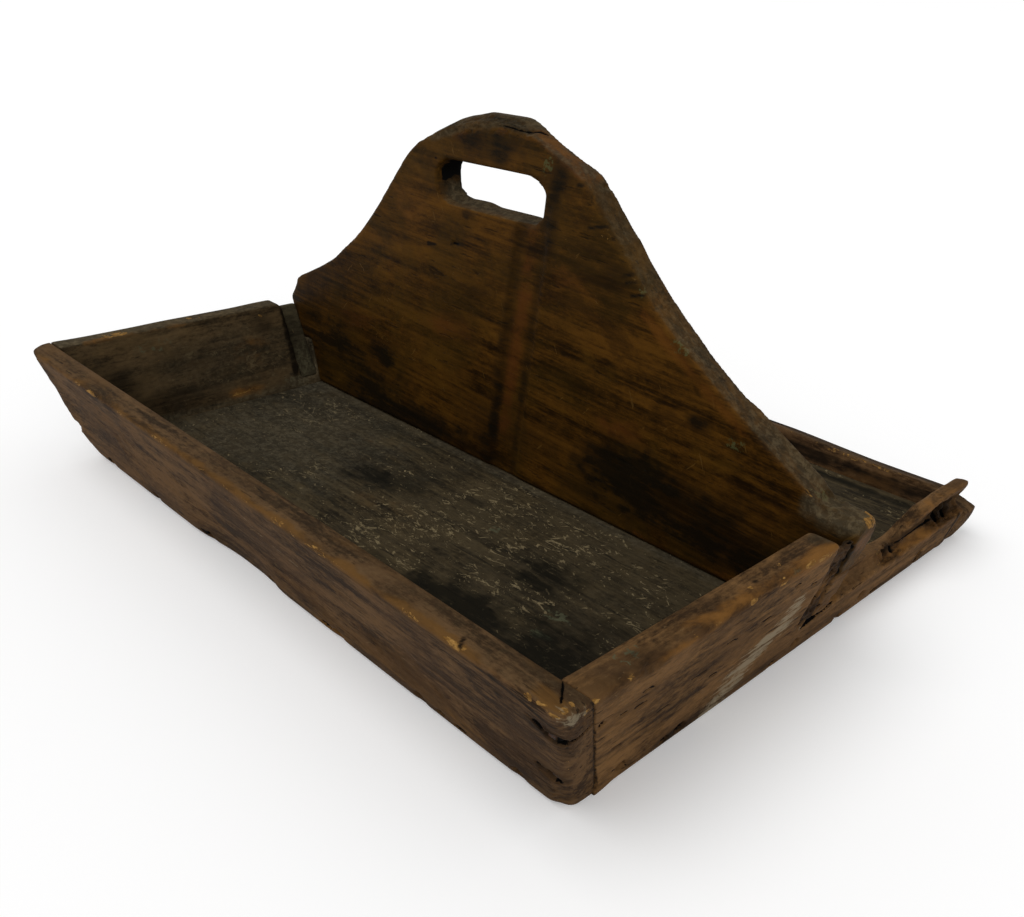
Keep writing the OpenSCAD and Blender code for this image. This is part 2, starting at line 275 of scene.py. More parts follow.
# the levels between which each coat or tone fades in
fades = {
    "cloud": (0.44, 0.6),
    "haze": (0.52, 0.66),
    "blotch": (0.47, 0.36),
    "crowd": (0.4, 0.66, 0.0, 0.075),
    "nickCloud": (0.4, 0.62, 0.0, 0.05),
    "green": (0.78, 0.88),
    "upward": (0.5, 0.92),
    "dustCloud": (0.34, 0.6, 0.6, 1.0),
    "dustGrit": (0.3, 0.62, 0.6, 1.0),
    "dustTone": (0.42, 0.62),
    "amberTone": (0.4, 0.58),
    "bare": (0.83, 0.865),
    "bareTone": (0.4, 0.62),
    "pale": (0.7, 0.86),
}

# how soft and how ragged the layers' edges are, and how much a layer lifts a pattern
raggedEdges = {"rusty": (0.42, 6), "amber": (0.38, 6), "grime": (0.45, 8), "split": (0.14, 1)}
lifts = {"chips": 0.035, "scratches": 0.8, "green": 0.4, "bare": 0.385, "pale": 0.34}
roughness = {"mottle": 0.3, "dust": 0.25, "amber": 0.1}


def woodPaint(name, look):
    sheet = PaintSheet(name)
    ways = {None: sheet.place}
    leaned = sheet.stretch(sheet.place, turn=look["lean"])
    made = {}
    for kind, (pull, *recipe) in patterns.items():
        if pull not in ways:
            scale = (pull, 1, 1) if look["along"] == "X" else (1, pull, 1)
            ways[pull] = sheet.stretch(leaned, scale)
        made[kind] = sheet.noise(ways[pull], *recipe)

    def blend(weights):
        total = 0.0
        for kind, weight in weights.items():
            total = made[kind] * weight + total
        return total

    def fade(pattern, kind):
        return sheet.ramp(pattern, *fades[kind])

    def shown(pattern, kind):
        level = look[kind + "Level"]
        return sheet.ramp(pattern, level, level + look[kind + "Soft"])

    def lifted(mark, pattern):
        return pattern + sheet.layer(mark) * lifts[mark]

    def ragged(mark, pattern):
        # a painted layer broken up by a pattern
        soft, spread = raggedEdges[mark]
        level = sheet.layer(mark) * ((pattern - 0.5) * spread + 1.0)
        return sheet.ramp(level, 0.5 - soft, 0.5 + soft)

    def coat(under, amount, mark, pattern=None):
        # one of the look's colours over what is there, or two that a pattern blends
        colour = shade(*look[mark])
        if pattern:
            colour = sheet.mix(fade(pattern, mark + "Tone"), shade(*look[mark + "Dark"]), colour)
        return sheet.mix(amount * look.get(mark + "Depth", 1.0), under, colour)

    shares = dict(zip(toneParts, look["shares"]))
    tone = blend({kind: share / sum(look["shares"]) for kind, share in shares.items()})
    tone = sheet.ramp(tone, 0.5 - look["spread"], 0.5 + look["spread"])
    body = sheet.mix(tone, shade(*look["dark"]), shade(*look["light"]))
    for kind, mark in (("clouds", "cloud"), ("patches", "haze"), ("patches", "blotch")):
        body = coat(body, fade(made[kind], mark), mark)

    # chips and short scratches where the finish is knocked off, then dark nicks along the grain
    crowd = lifted("chips", fade(made["crowds"], "crowd"))
    scratched = []
    for turn in look["scratchTurns"]:
        way = sheet.stretch(sheet.stretch(sheet.place, turn=turn), (look["scratchPull"], 1, 1))
        lines = sheet.noise(way, *scratchLines) + crowd * lifts["scratches"]
        scratched.append(shown(lines, "scratch"))
    scratches = sheet.math("MAXIMUM", *scratched) * look["scratchDepth"]
    knocked = sheet.math("MAXIMUM", shown(made["chipSpots"] + crowd, "chip"), scratches)
    body = coat(body, knocked, "chip")
    nicks = shown(made["nickLines"] + fade(made["clouds"], "nickCloud"), "nick")
    body = coat(body, nicks, "nick")

    body = coat(body, ragged("rusty", made["mottle"]), "rusty")
    body = coat(body, fade(lifted("green", made["specks"]), "green"), "green")

    # upward faces turn lighter and greyer: lying dust, partly painted light from above
    normal = sheet.add("ShaderNodeNewGeometry", {}, "Normal")
    upward = fade(sheet.signal("ShaderNodeSeparateXYZ", {0: normal}, 2), "upward")
    lyingDustAndLight = upward * look["topDustAndLight"] * fade(made["clouds"], "dustCloud")
    dustedAndLit = sheet.math("MAXIMUM", lyingDustAndLight, sheet.layer("dust")) * fade(made["grit"], "dustGrit")
    body = coat(body, dustedAndLit, "dust", made["specks"])

    ambered = ragged("amber", made["mottle"])
    body = coat(body, ambered, "amber", made["mottle"])
    bared = fade(lifted("bare", made["flakes"]), "bare")
    body = coat(body, bared, "bare", made["grit"])
    body = coat(body, fade(lifted("pale", blend(fibres)), "pale"), "pale")
    # dark marks: dirt, and painted shade in gaps, cracks, the handle slot, under the rim and low
    # on the carry board's face
    body = coat(body, ragged("grime", blend(stainAndShadeBreakup)), "grime")
    # near-black over open cracks, holes and pits: the dark of the openings, partly painted shade
    body = coat(body, ragged("split", made["specks"]), "crack")

    surface = sheet.surface.inputs
    sheet.feed(surface["Base Color"], body)
    surface["Specular IOR Level"].default_value = look["gloss"]
    rough = (made["mottle"] - 0.5) * roughness["mottle"] + look["rough"]
    rough = rough + dustedAndLit * roughness["dust"]
    rough = sheet.math("SUBTRACT", rough, ambered * roughness["amber"], clamp=True)
    sheet.feed(surface["Roughness"], rough)
    made.update(nicks=nicks, knocked=knocked, bared=bared)
    sheet.emboss(blend(relief), look["bump"], bumpDistance)
    return sheet.material


def degrees(x, y, z):
    return math.radians(x), math.radians(y), math.radians(z)


oldWood = {
    "along": "X",
    "lean": (0, 0, 0),
    # how much of the tone comes from threads, bands, streaks, mottle and grit
    "shares": (0.12, 0.16, 0.2, 0.42, 0.26),
    "spread": 0.068,
    "dark": (38, 25, 11),
    "light": (95, 69, 38),
    "cloud": (80, 57, 36),
    "cloudDepth": 0.45,
    "haze": (88, 61, 30),
    "hazeDepth": 0.4,
    "blotch": (40, 27, 16),
    "blotchDepth": 0.45,
    "chip": (112, 90, 60),
    "chipDepth": 0.55,
    "chipLevel": 0.69,
    "chipSoft": 0.03,
    "scratchTurns": (degrees(0, 28, 12), degrees(0, -52, -8)),
    "scratchPull": 0.16,
    "scratchLevel": 0.76,
    "scratchSoft": 0.03,
    "scratchDepth": 0.75,
    "nick": (20, 13, 7),
    "nickDepth": 0.75,
    "nickLevel": 0.665,
    "nickSoft": 0.05,
    "rusty": (82, 43, 18),
    "rustyDepth": 0.7,
    "green": (78, 80, 60),
    "greenDepth": 0.8,
    "dust": (80, 71, 51),
    "dustDark": (54, 48, 35),
    # how much upward faces lighten: lying dust and painted light from above
    "topDustAndLight": 0.25,
    "amber": (94, 65, 29),
    "amberDark": (60, 41, 18),
    "amberDepth": 0.75,
    "bare": (158, 120, 64),
    "bareDark": (112, 80, 38),
    "bareDepth": 0.95,
    "pale": (124, 112, 90),
    "paleDepth": 0.85,
    # dark colour of dirt, also used as painted shade
    "grime": (15, 11, 7),
    "grimeDepth": 0.9,
    # near-black for cracks, holes and pits, partly painted shade in them
    "crack": (4, 3, 2),
    "rough": 0.68,
    "gloss": 0.035,
    "bump": 0.6,
}

sideLook = dict(
    oldWood, dark=(43, 30, 18), light=(99, 74, 48), blotchDepth=0.28, cloudDepth=0.3,
)
endLook = dict(
    oldWood,
    along="Y",
    scratchTurns=(degrees(0, 0, 62), degrees(40, 0, 84)),
    spread=0.085,
    dark=(44, 30, 17), light=(117, 86, 52), cloud=(100, 73, 46), haze=(110, 79, 44),
    blotchDepth=0.35,
    amber=(116, 79, 36), amberDark=(78, 51, 22), amberDepth=0.85,
    pale=(136, 123, 100),
    topDustAndLight=0.12,
)
floorLook = dict(
    oldWood,
    shares=(0.2, 0.2, 0.25, 0.35, 0.3),
    spread=0.08,
    dark=(22, 17, 9), light=(72, 61, 41),
    cloud=(46, 39, 27), cloudDepth=0.4,
    haze=(74, 63, 44), hazeDepth=0.4,
    blotch=(24, 22, 14), blotchDepth=0.6,
    chip=(134, 119, 88), chipDepth=0.85, chipLevel=0.652,
    scratchTurns=(degrees(0, 0, 34), degrees(0, 0, -52)),
    scratchPull=0.38, scratchLevel=0.722,
    nick=(14, 12, 8),
    dust=(78, 72, 58), dustDark=(52, 47, 37), topDustAndLight=0.2,
    grime=(15, 14, 9),
    rough=0.75, gloss=0.06, bump=0.7,
)
dividerLook = dict(
    oldWood,
    lean=degrees(0, -3, 0),
    shares=(0.2, 0.3, 0.26, 0.36, 0.2),
    spread=0.085,
    dark=(27, 15, 2), light=(87, 56, 14),
    cloud=(54, 38, 8), cloudDepth=0.5,
    haze=(86, 58, 14), hazeDepth=0.45,
    blotch=(30, 17, 4),
    chip=(104, 76, 34), chipDepth=0.5, chipLevel=0.7,
    scratchTurns=(degrees(0, 48, 0), degrees(0, -68, 0)),
    nick=(14, 8, 2), nickDepth=0.6,
    rusty=(82, 45, 15), green=(74, 74, 44),
    dust=(86, 75, 55), dustDark=(59, 51, 37), topDustAndLight=0.9,
    amber=(96, 60, 18), amberDark=(62, 34, 8),
    bare=(146, 108, 54), grime=(12, 11, 6), pale=(108, 84, 48),
    rough=0.6, gloss=0.05,
)
fillerLook = dict(
    oldWood,
    along="Y",
    spread=0.1,
    dark=(36, 31, 22), light=(74, 66, 48), cloud=(60, 55, 40), haze=(72, 66, 48),
    blotch=(32, 27, 17),
    dust=(82, 77, 58), topDustAndLight=0.4,
)
farEndLook = dict(
    endLook,
    dark=(34, 27, 17), light=(92, 74, 49), cloud=(70, 57, 40), haze=(88, 70, 43),
    blotch=(30, 24, 16),
    chip=(106, 91, 64), chipLevel=0.665,
    dust=(96, 86, 66), dustDark=(64, 57, 43), topDustAndLight=0.75,
)
rottenLook = dict(
    endLook,
    shares=(0.1, 0.2, 0.35, 0.4, 0.3),
    spread=0.07,
    dark=(15, 10, 6), light=(80, 58, 36), cloud=(58, 42, 28),
    blotch=(8, 6, 4), blotchDepth=0.85,
    bump=1.0,
)


# Worn boards

boardWear = {
    "along": "X",
    # height in mm of slow waves and raised grain, trough to crest, and depth of edge chips
    "waves": 0.3,
    "ridges": 0.14,
    "chipDepth": 1.0,
    # passes that even out the new mesh, with the push back out after each
    "steadySteps": 6,
    "steadyBack": -1.06,
    # passes that round the edges, and the share that each pass takes
    "relaxSteps": 50,
    "edgeRound": 0.09,
    # how bare and how amber worn edges turn, the amber on a rolled rim partly a painted highlight,
    # and how much a rolled rim counts as worn
    "edgeBare": 0.5,
    "edgeAmber": 0.45,
    "rollWear": 0.5,
}

# how far out a mark keeps its full strength and where it ends, as shares of its reach
markCores = {"grime": 0.05, "pale": 0.05, "rusty": 0.0, "amber": 0.15, "dust": 0.25}
plainCore = 0.5
markEnd = 1.1

# how ragged the outline of each kind of mark is
raggedness = {"worn": 0.15, "dents": 0.3, "rotted": 0.3, "holes": 0.25, "paint": 0.22}
fineShare = 0.5

# the size of each noise in metres; a pair is the size along the grain and across it
noiseSizes = {
    "ragged": 0.008, "raggedFine": 0.003, "corner": 0.02, "rim": 0.03, "edge": 0.025,
    "wave": (0.12, 0.02), "ridge": (0.05, 0.0034), "chip": 0.008, "pit": 0.005,
    "pitFine": 0.0022, "wander": 0.006, "bare": 0.02, "amber": 0.03,
}
wanderDepth = 0.0006

# noises as a middle level and how far they swing about it; pits have a second, finer swing
edgeVary = (0.75, 0.25)
pitVary = (0.55, 0.5, 0.4)
pitMost = 1.3
bareVary = (0.6, 0.6)
amberVary = (0.7, 0.5)

# a crack's width and depth at its ends, and how sharp its sides are
crackEnds = 0.4
crackPower = 4
crackSharpness = 1.2

# the levels between which each effect of wear sets in
wearFades = {
    "facing": (0.3, 0.8),
    "edge": (0.35, 1.4),
    "chip": (0.3, 0.85),
    "openPit": (2.4, 4.2),
    "openHole": (0.15, 0.6),
    "openCrack": (0.03, 0.25),
    "edgePaint": (0.5, 3.0),
}

trayShape = {"length": 560, "width": 478, "rim": 91, "endFlare": 26.5, "sideFlare": 39}
cornerRounds = {
    # by the signs of X and Y: radius in mm at the rim, half way down and at the foot
    (-1, -1): (17, 4, 3),
    (1, -1): (8, 6, 7),
    (-1, 1): (7, 6, 6),
    (1, 1): (7, 6, 6),
}
cornerRagged = {"share": 0.12, "seed": 71}
rimRoll = {"radius": 5.0, "ragged": 0.3, "seed": 77, "stretch": (1, 1, 0.2)}

# random values on a repeating lattice, and an offset that keeps points off its corners
latticeSize = 32
latticeShift = 100.37


def softNoise(points, size, seed):
    # smooth noise from -1 to 1, with features about as large as size, in metres
    lattice = np.random.default_rng(seed).uniform(-1, 1, (latticeSize,) * 3)
    spot = points / np.asarray(size, float) + latticeShift
    cell = np.floor(spot).astype(int)
    part = spot - cell
    part = part * part * (3 - 2 * part)
    total = np.zeros(len(points))
    for corner in range(8):
        step = np.array([corner & 1, corner >> 1 & 1, corner >> 2 & 1])
        weight = np.prod(np.where(step, part, 1 - part), axis=1)
        index = (cell + step) % latticeSize
        total += weight * lattice[index[:, 0], index[:, 1], index[:, 2]]
    return total


def smoothStep(value, low, high):
    part = np.clip((value - low) / (high - low), 0, 1)
    return part * part * (3 - 2 * part)


def unit(vector):
    return np.array(vector, float) / np.linalg.norm(vector)


def pathDistance(points, path):
    # distance in mm to the nearest stretch of a path, and how far along it
    best = np.full(len(points), np.inf)
    share = np.zeros(len(points))
    corners = np.array(path, float) * mm
    for index in range(len(corners) - 1):
        start, span = corners[index], corners[index + 1] - corners[index]
        along = np.clip(((points - start) @ span) / (span @ span), 0, 1)
        gap = np.linalg.norm(points - start - along[:, None] * span, axis=1)
        closer = gap < best
        best[closer] = gap[closer]
        share[closer] = (index + along[closer]) / (len(corners) - 1)
    return best / mm, share


def reached(points, place, reach, rough=0.0, seed=0, core=plainCore):
    # 1 at a place or along a path, fading to 0 at its reach; sizes in mm
    if isinstance(place, list):
        far = pathDistance(points, place)[0] / reach
    else:
        far = np.linalg.norm((points / mm - place) / reach, axis=1)
    if rough:
        # points well outside keep their distance, which saves time
        near = far < 1.2 + 2 * rough
        coarse = softNoise(points[near], noiseSizes["ragged"], seed)
        fine = softNoise(points[near], noiseSizes["raggedFine"], seed + 1)
        far[near] += rough * (coarse + fineShare * fine)
    return 1 - smoothStep(far, core, markEnd)


def readVerts(mesh, what="co"):
    values = np.zeros(len(mesh.vertices) * 3)
    mesh.vertices.foreach_get(what, values)
    return values.reshape(-1, 3)


def writeVerts(mesh, points):
    mesh.vertices.foreach_set("co", points.astype(np.float32).ravel())
    mesh.update()


def merged(node):
    # the frame's own mesh of a node, opened for reading with its doubled corners joined
    work = bmesh.new()
    work.from_mesh(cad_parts[node].data)
    bmesh.ops.remove_doubles(work, verts=work.verts, dist=tiny)
    return work


def evaluated(source):
    # the mesh that an object's modifiers make, after which the object goes
    graph = bpy.context.evaluated_depsgraph_get()
    made = bpy.data.meshes.new_from_object(source.evaluated_get(graph))
    bpy.data.objects.remove(source)
    return made


def remeshed(node, values):
    # an even mesh of small faces over the frame's own board, finer in the named places
    work = merged(node)
    mesh = bpy.data.meshes.new(node + "Blank")
    work.to_mesh(mesh)
    work.free()
    blank = bpy.data.objects.new(node + "Blank", mesh)
    scene.collection.objects.link(blank)
    even = blank.modifiers.new("even", "REMESH")
    even.mode = "VOXEL"
    even.voxel_size = values["voxel"] * mm
    even.use_smooth_shade = True
    made = evaluated(blank)
    spots = readVerts(made)
    close = np.zeros(len(spots), bool)
    for centre, radii in values.get("fine", ()):
        close |= np.linalg.norm((spots / mm - centre) / radii, axis=1) < 1
    if close.any():
        work = bmesh.new()
        work.from_mesh(made)
        inside = [edge for edge in work.edges if all(close[vert.index] for vert in edge.verts)]
        bmesh.ops.subdivide_edges(work, edges=inside, cuts=1, use_grid_fill=True)
        for face in work.faces:
            face.smooth = True
        work.to_mesh(made)
        work.free()
    return made


def relax(points, edges, weight, steps):
    # every point moved part of the way to the mean of its neighbours
    count = np.bincount(edges.ravel(), minlength=len(points)).astype(float)[:, None]
    for step in range(steps):
        total = np.empty_like(points)
        for axis in range(3):
            total[:, axis] = np.bincount(edges[:, 0], points[edges[:, 1], axis], len(points))
            total[:, axis] += np.bincount(edges[:, 1], points[edges[:, 0], axis], len(points))
        points = points + (total / count - points) * weight[:, None] * 0.5
    return points


def trayEdges(points):
    # distance in mm in from the tray's leaning outline, and the plan radius of the corner
    height = np.clip(points[:, 2] / mm / trayShape["rim"], 0, 1)
    halfLength = trayShape["length"] / 2 - trayShape["endFlare"] * (1 - height)
    halfWidth = trayShape["width"] / 2 - trayShape["sideFlare"] * (1 - height)
    radius = np.zeros(len(points))
    for (signX, signY), radii in cornerRounds.items():
        here = (signX * points[:, 0] >= 0) & (signY * points[:, 1] >= 0)
        radius[here] = np.interp(height[here], (0, 0.5, 1), radii[::-1])
    vary = softNoise(points, noiseSizes["corner"], cornerRagged["seed"])
    radius *= 1 + cornerRagged["share"] * vary
    fromEnd = halfLength - np.abs(points[:, 0]) / mm
    fromSide = halfWidth - np.abs(points[:, 1]) / mm
    return fromEnd, fromSide, radius


def turnedCorners(points):
    # the tray's four slanted corners, rounded alike over both boards that meet there
    fromEnd, fromSide, radius = trayEdges(points)
    beyondX, beyondY = radius - fromEnd, radius - fromSide
    reach = np.hypot(beyondX, beyondY)
    outside = (beyondX > 0) & (beyondY > 0) & (reach > radius)
    pull = np.where(outside, radius / np.maximum(reach, tiny) - 1, 0) * mm
    points = points.copy()
    points[:, 0] += np.sign(points[:, 0]) * beyondX * pull
    points[:, 1] += np.sign(points[:, 1]) * beyondY * pull
    return points


def rolledRim(points):
    # the rim's outer edge, worn round alike on every board it runs over
    fromEnd, fromSide, radius = trayEdges(points)
    beyondX, beyondY = radius - fromEnd, radius - fromSide
    inCorner = (beyondX > 0) & (beyondY > 0)
    reach = np.maximum(np.hypot(beyondX, beyondY), tiny)
    inward = np.where(inCorner, radius - reach, np.minimum(fromEnd, fromSide))
    outX = np.where(inCorner, beyondX / reach, fromEnd < fromSide) * np.sign(points[:, 0])
    outY = np.where(inCorner, beyondY / reach, fromEnd >= fromSide) * np.sign(points[:, 1])
    vary = softNoise(points * rimRoll["stretch"], noiseSizes["rim"], rimRoll["seed"])
    roll = rimRoll["radius"] * (1 + rimRoll["ragged"] * vary)
    outPart, upPart = roll - inward, roll - (trayShape["rim"] - points[:, 2] / mm)
    swing = np.hypot(np.clip(outPart, 0, None), np.clip(upPart, 0, None))
    worn = (outPart > 0) & (upPart > 0) & (swing > roll)
    pull = np.where(worn, roll / np.maximum(swing, tiny) - 1, 0) * mm
    points = points.copy()
    points[:, 0] += outX * outPart * pull
    points[:, 1] += outY * outPart * pull
    points[:, 2] += upPart * pull
    return points


def loweredFront(points, flat, drops, depth):
    # the front top edge worn down by the drops given along X, fading out over a depth
    cellWidth, zoneDepth = 2, 3
    place = flat / mm
    cells = np.round(place[:, 0] / cellWidth).astype(int)
    low = cells.min()
    tops = np.zeros(cells.max() - low + 1)
    np.maximum.at(tops, cells - low, place[:, 2])
    top = np.interp(place[:, 0], (np.arange(len(tops)) + low) * cellWidth, tops)
    below = top - place[:, 2]
    inner = np.clip((place[:, 1] - place[:, 1].min()) / depth, 0, 1)
    drop = np.interp(place[:, 0], *zip(*drops)) * (1 - inner)
    zone = np.maximum(drop * zoneDepth, tiny)
    points[:, 2] -= np.where(below < zone, drop * (1 - below / zone), 0) * mm
    return points


def blankBoard(name, node, values):
    # the remeshed board, with the small steps that remeshing left evened out
    mesh = remeshed(node, values)
    mesh.name = name
    edges = np.zeros(len(mesh.edges) * 2, int)
    mesh.edges.foreach_get("vertices", edges)
    edges = edges.reshape(-1, 2)
    flat = readVerts(mesh)
    every = np.ones(len(flat))
    for turn in range(values["steadySteps"]):
        flat = relax(flat, edges, every, 1)
        flat = relax(flat, edges, values["steadyBack"] * every, 1)
    writeVerts(mesh, flat)
    return mesh, edges, flat


def bent(mesh, flat, values):
    # the board pushed and swollen at the named places, with its rim worn round
    facingOut = readVerts(mesh, "normal")
    points = flat.copy()
    for place, reach, shift in values.get("moves", ()):
        points += reached(flat, place, reach, core=0.0)[:, None] * np.array(shift) * mm
    for place, reach, height, facing in values.get("swells", ()):
        facing = unit(facing)
        rising = smoothStep(facingOut @ facing, *wearFades["facing"])
        amount = height * rising * reached(flat, place, reach, core=0.0)
        points += amount[:, None] * facing * mm
    if "drops" in values:
        points = loweredFront(points, flat, values["drops"], values["dropDepth"])
    whole = points
    if values.get("onRim"):
        points = rolledRim(turnedCorners(points))
    return points, np.linalg.norm(points - whole, axis=1) / mm


# Each noise of a board takes the board's seed and a step of its own.

def roundedEdges(points, flat, edges, values):
    # edges rounded by handling, more in the named places and not where boards meet
    seed = values["seed"]
    weight = np.full(len(points), values["edgeRound"])
    for place, reach, strength in values.get("worn", ()):
        touched = reached(flat, place, reach, raggedness["worn"], seed)
        weight = np.maximum(weight, strength * touched)
    level, swing = edgeVary
    weight *= level + swing * softNoise(flat, noiseSizes["edge"], seed + 1)
    for place, reach in values.get("kept", ()):
        weight *= 1 - reached(flat, place, reach)
    return relax(points, edges, np.clip(weight, 0, 1), values["relaxSteps"])


def grainNoise(flat, kind, seed, values):
    along, across = noiseSizes[kind]
    size = (along, across, across) if values["along"] == "X" else (across, along, across)
    return softNoise(flat, size, seed)


def surfaceDips(flat, moved, values):
    # how deep in mm each point sinks, and how open the wood is there
    seed = values["seed"]
    dip = 0.5 * values["waves"] * grainNoise(flat, "wave", seed + 2, values)
    dip += 0.5 * values["ridges"] * grainNoise(flat, "ridge", seed + 3, values)
    chipping = smoothStep(softNoise(flat, noiseSizes["chip"], seed + 4), *wearFades["chip"])
    dip += values["chipDepth"] * chipping * smoothStep(moved, *wearFades["edge"])
    for place, reach, depth in values.get("dents", ()):
        dip += depth * reached(flat, place, reach, raggedness["dents"], seed + 5)
    opened = np.zeros(len(flat))
    level, coarse, fine = pitVary
    pitted = level + coarse * softNoise(flat, noiseSizes["pit"], seed + 6)
    pitted += fine * softNoise(flat, noiseSizes["pitFine"], seed + 7)
    for place, reach, depth in values.get("rotted", ()):
        pit = reached(flat, place, reach, raggedness["rotted"], seed + 8)
        pit = pit * np.clip(pitted, 0, pitMost)
        dip += depth * pit
        opened = np.maximum(opened, smoothStep(pit * depth, *wearFades["openPit"]))
    for place, reach, depth in values.get("holes", ()):
        hole = reached(flat, place, reach, raggedness["holes"], seed + 9)
        dip += depth * hole
        opened = np.maximum(opened, smoothStep(hole, *wearFades["openHole"]))
    sway = [softNoise(flat, noiseSizes["wander"], seed + 10 + axis) for axis in range(3)]
    wander = flat + wanderDepth * np.stack(sway, axis=1)
    for path, width, depth in values.get("cracks", ()):
        gap, share = pathDistance(wander, path)
        taper = np.sqrt(np.clip(4 * share * (1 - share), 0, 1)) * (1 - crackEnds) + crackEnds
        core = np.exp(-((gap / (width * taper)) ** crackPower) * crackSharpness)
        dip += depth * taper * core
        opened = np.maximum(opened, smoothStep(core, *wearFades["openCrack"]))
    return dip, opened


def shaved(points, flat, values):
    # wood planed off down to a plane around a point
    for point, facing, radii in values.get("shaves", ()):
        facing = unit(facing)
        vary = softNoise(flat, noiseSizes["wander"], values["seed"] + 12)
        over = (points - np.array(point) * mm) @ facing + wanderDepth * vary
        over = np.clip(over, 0, None) * reached(flat, point, radii)
        points = points - facing * over[:, None]
    return points


def paintLayers(mesh, flat, moved, opened, values):
    # painted marks, one layer each, read by the material
    seed = values["seed"]
    layers = {mark: np.zeros(len(flat)) for mark in paintMarks}
    layers["split"] = opened
    # rounded edges turn bare and amber: wear, and on the rolled rim partly a painted highlight
    edgeWornAndLit = smoothStep(moved, *wearFades["edgePaint"])
    edgePaints = (("bare", "edgeBare", bareVary, 13), ("amber", "edgeAmber", amberVary, 14))
    for mark, key, (level, swing), step in edgePaints:
        vary = level + swing * softNoise(flat, noiseSizes[mark], seed + step)
        layers[mark] = edgeWornAndLit * values[key] * vary
    for mark in paintMarks:
        core = markCores.get(mark, plainCore)
        for place, reach, strength in values.get(mark, ()):
            touched = reached(flat, place, reach, raggedness["paint"], seed + 15, core)
            layers[mark] = np.maximum(layers[mark], strength * touched)
    for mark, levels in layers.items():
        data = mesh.attributes.new(mark, "FLOAT", "POINT")
        data.data.foreach_set("value", np.clip(levels, 0, 1).astype(np.float32))


def wornBoard(name, node, paint, wear):
    values = dict(boardWear, **wear)
    mesh, edges, flat = blankBoard(name, node, values)
    whole, rolled = bent(mesh, flat, values)
    points = roundedEdges(whole, flat, edges, values)
    moved = np.linalg.norm(points - whole, axis=1) / mm + values["rollWear"] * rolled
    writeVerts(mesh, points)
    normals = readVerts(mesh, "normal")
    dip, opened = surfaceDips(flat, moved, values)
    points = shaved(points - normals * (dip * mm)[:, None], flat, values)
    writeVerts(mesh, np.clip(points, cadBox[0], cadBox[1]))
    paintLayers(mesh, flat, moved, opened, values)

    board = bpy.data.objects.new(name, mesh)
    scene.collection.objects.link(board)
    mesh.materials.clear()
    mesh.materials.append(paint)
    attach(board, "root")
    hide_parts(node)
    print("board", name, "faces", len(mesh.polygons))


def onFace(way, level, depth, rows):
    # marks on a flat face: two places and two reaches in it, and a strength, for each
    axis = "XYZ".index(way)
    marks = []
    for *sizes, strength in rows:
        place, reach = sizes[:2], sizes[2:]
        place.insert(axis, level)
        reach.insert(axis, depth)
        marks.append((tuple(place), tuple(reach), strength))
    return marks


# Each board's marks are a place in mm, or a path of places, then a reach and a strength.
# Moves, swells and shaves also give a direction. The paths below are where boards meet.

nearCorner = [(280, -221, 91), (253.5, -182, 0)]
farCorner = [(-280, -221, 91), (-253.5, -182, 0)]
nearRimJoint = [(280, -221, 91), (256, -220, 91)]
farRimJoint = [(-280, -221, 91), (-256, -220, 91)]
backJoint = [(263, 186.5, 32), (257.5, 180.5, 14), (253.6, 176, 0)]

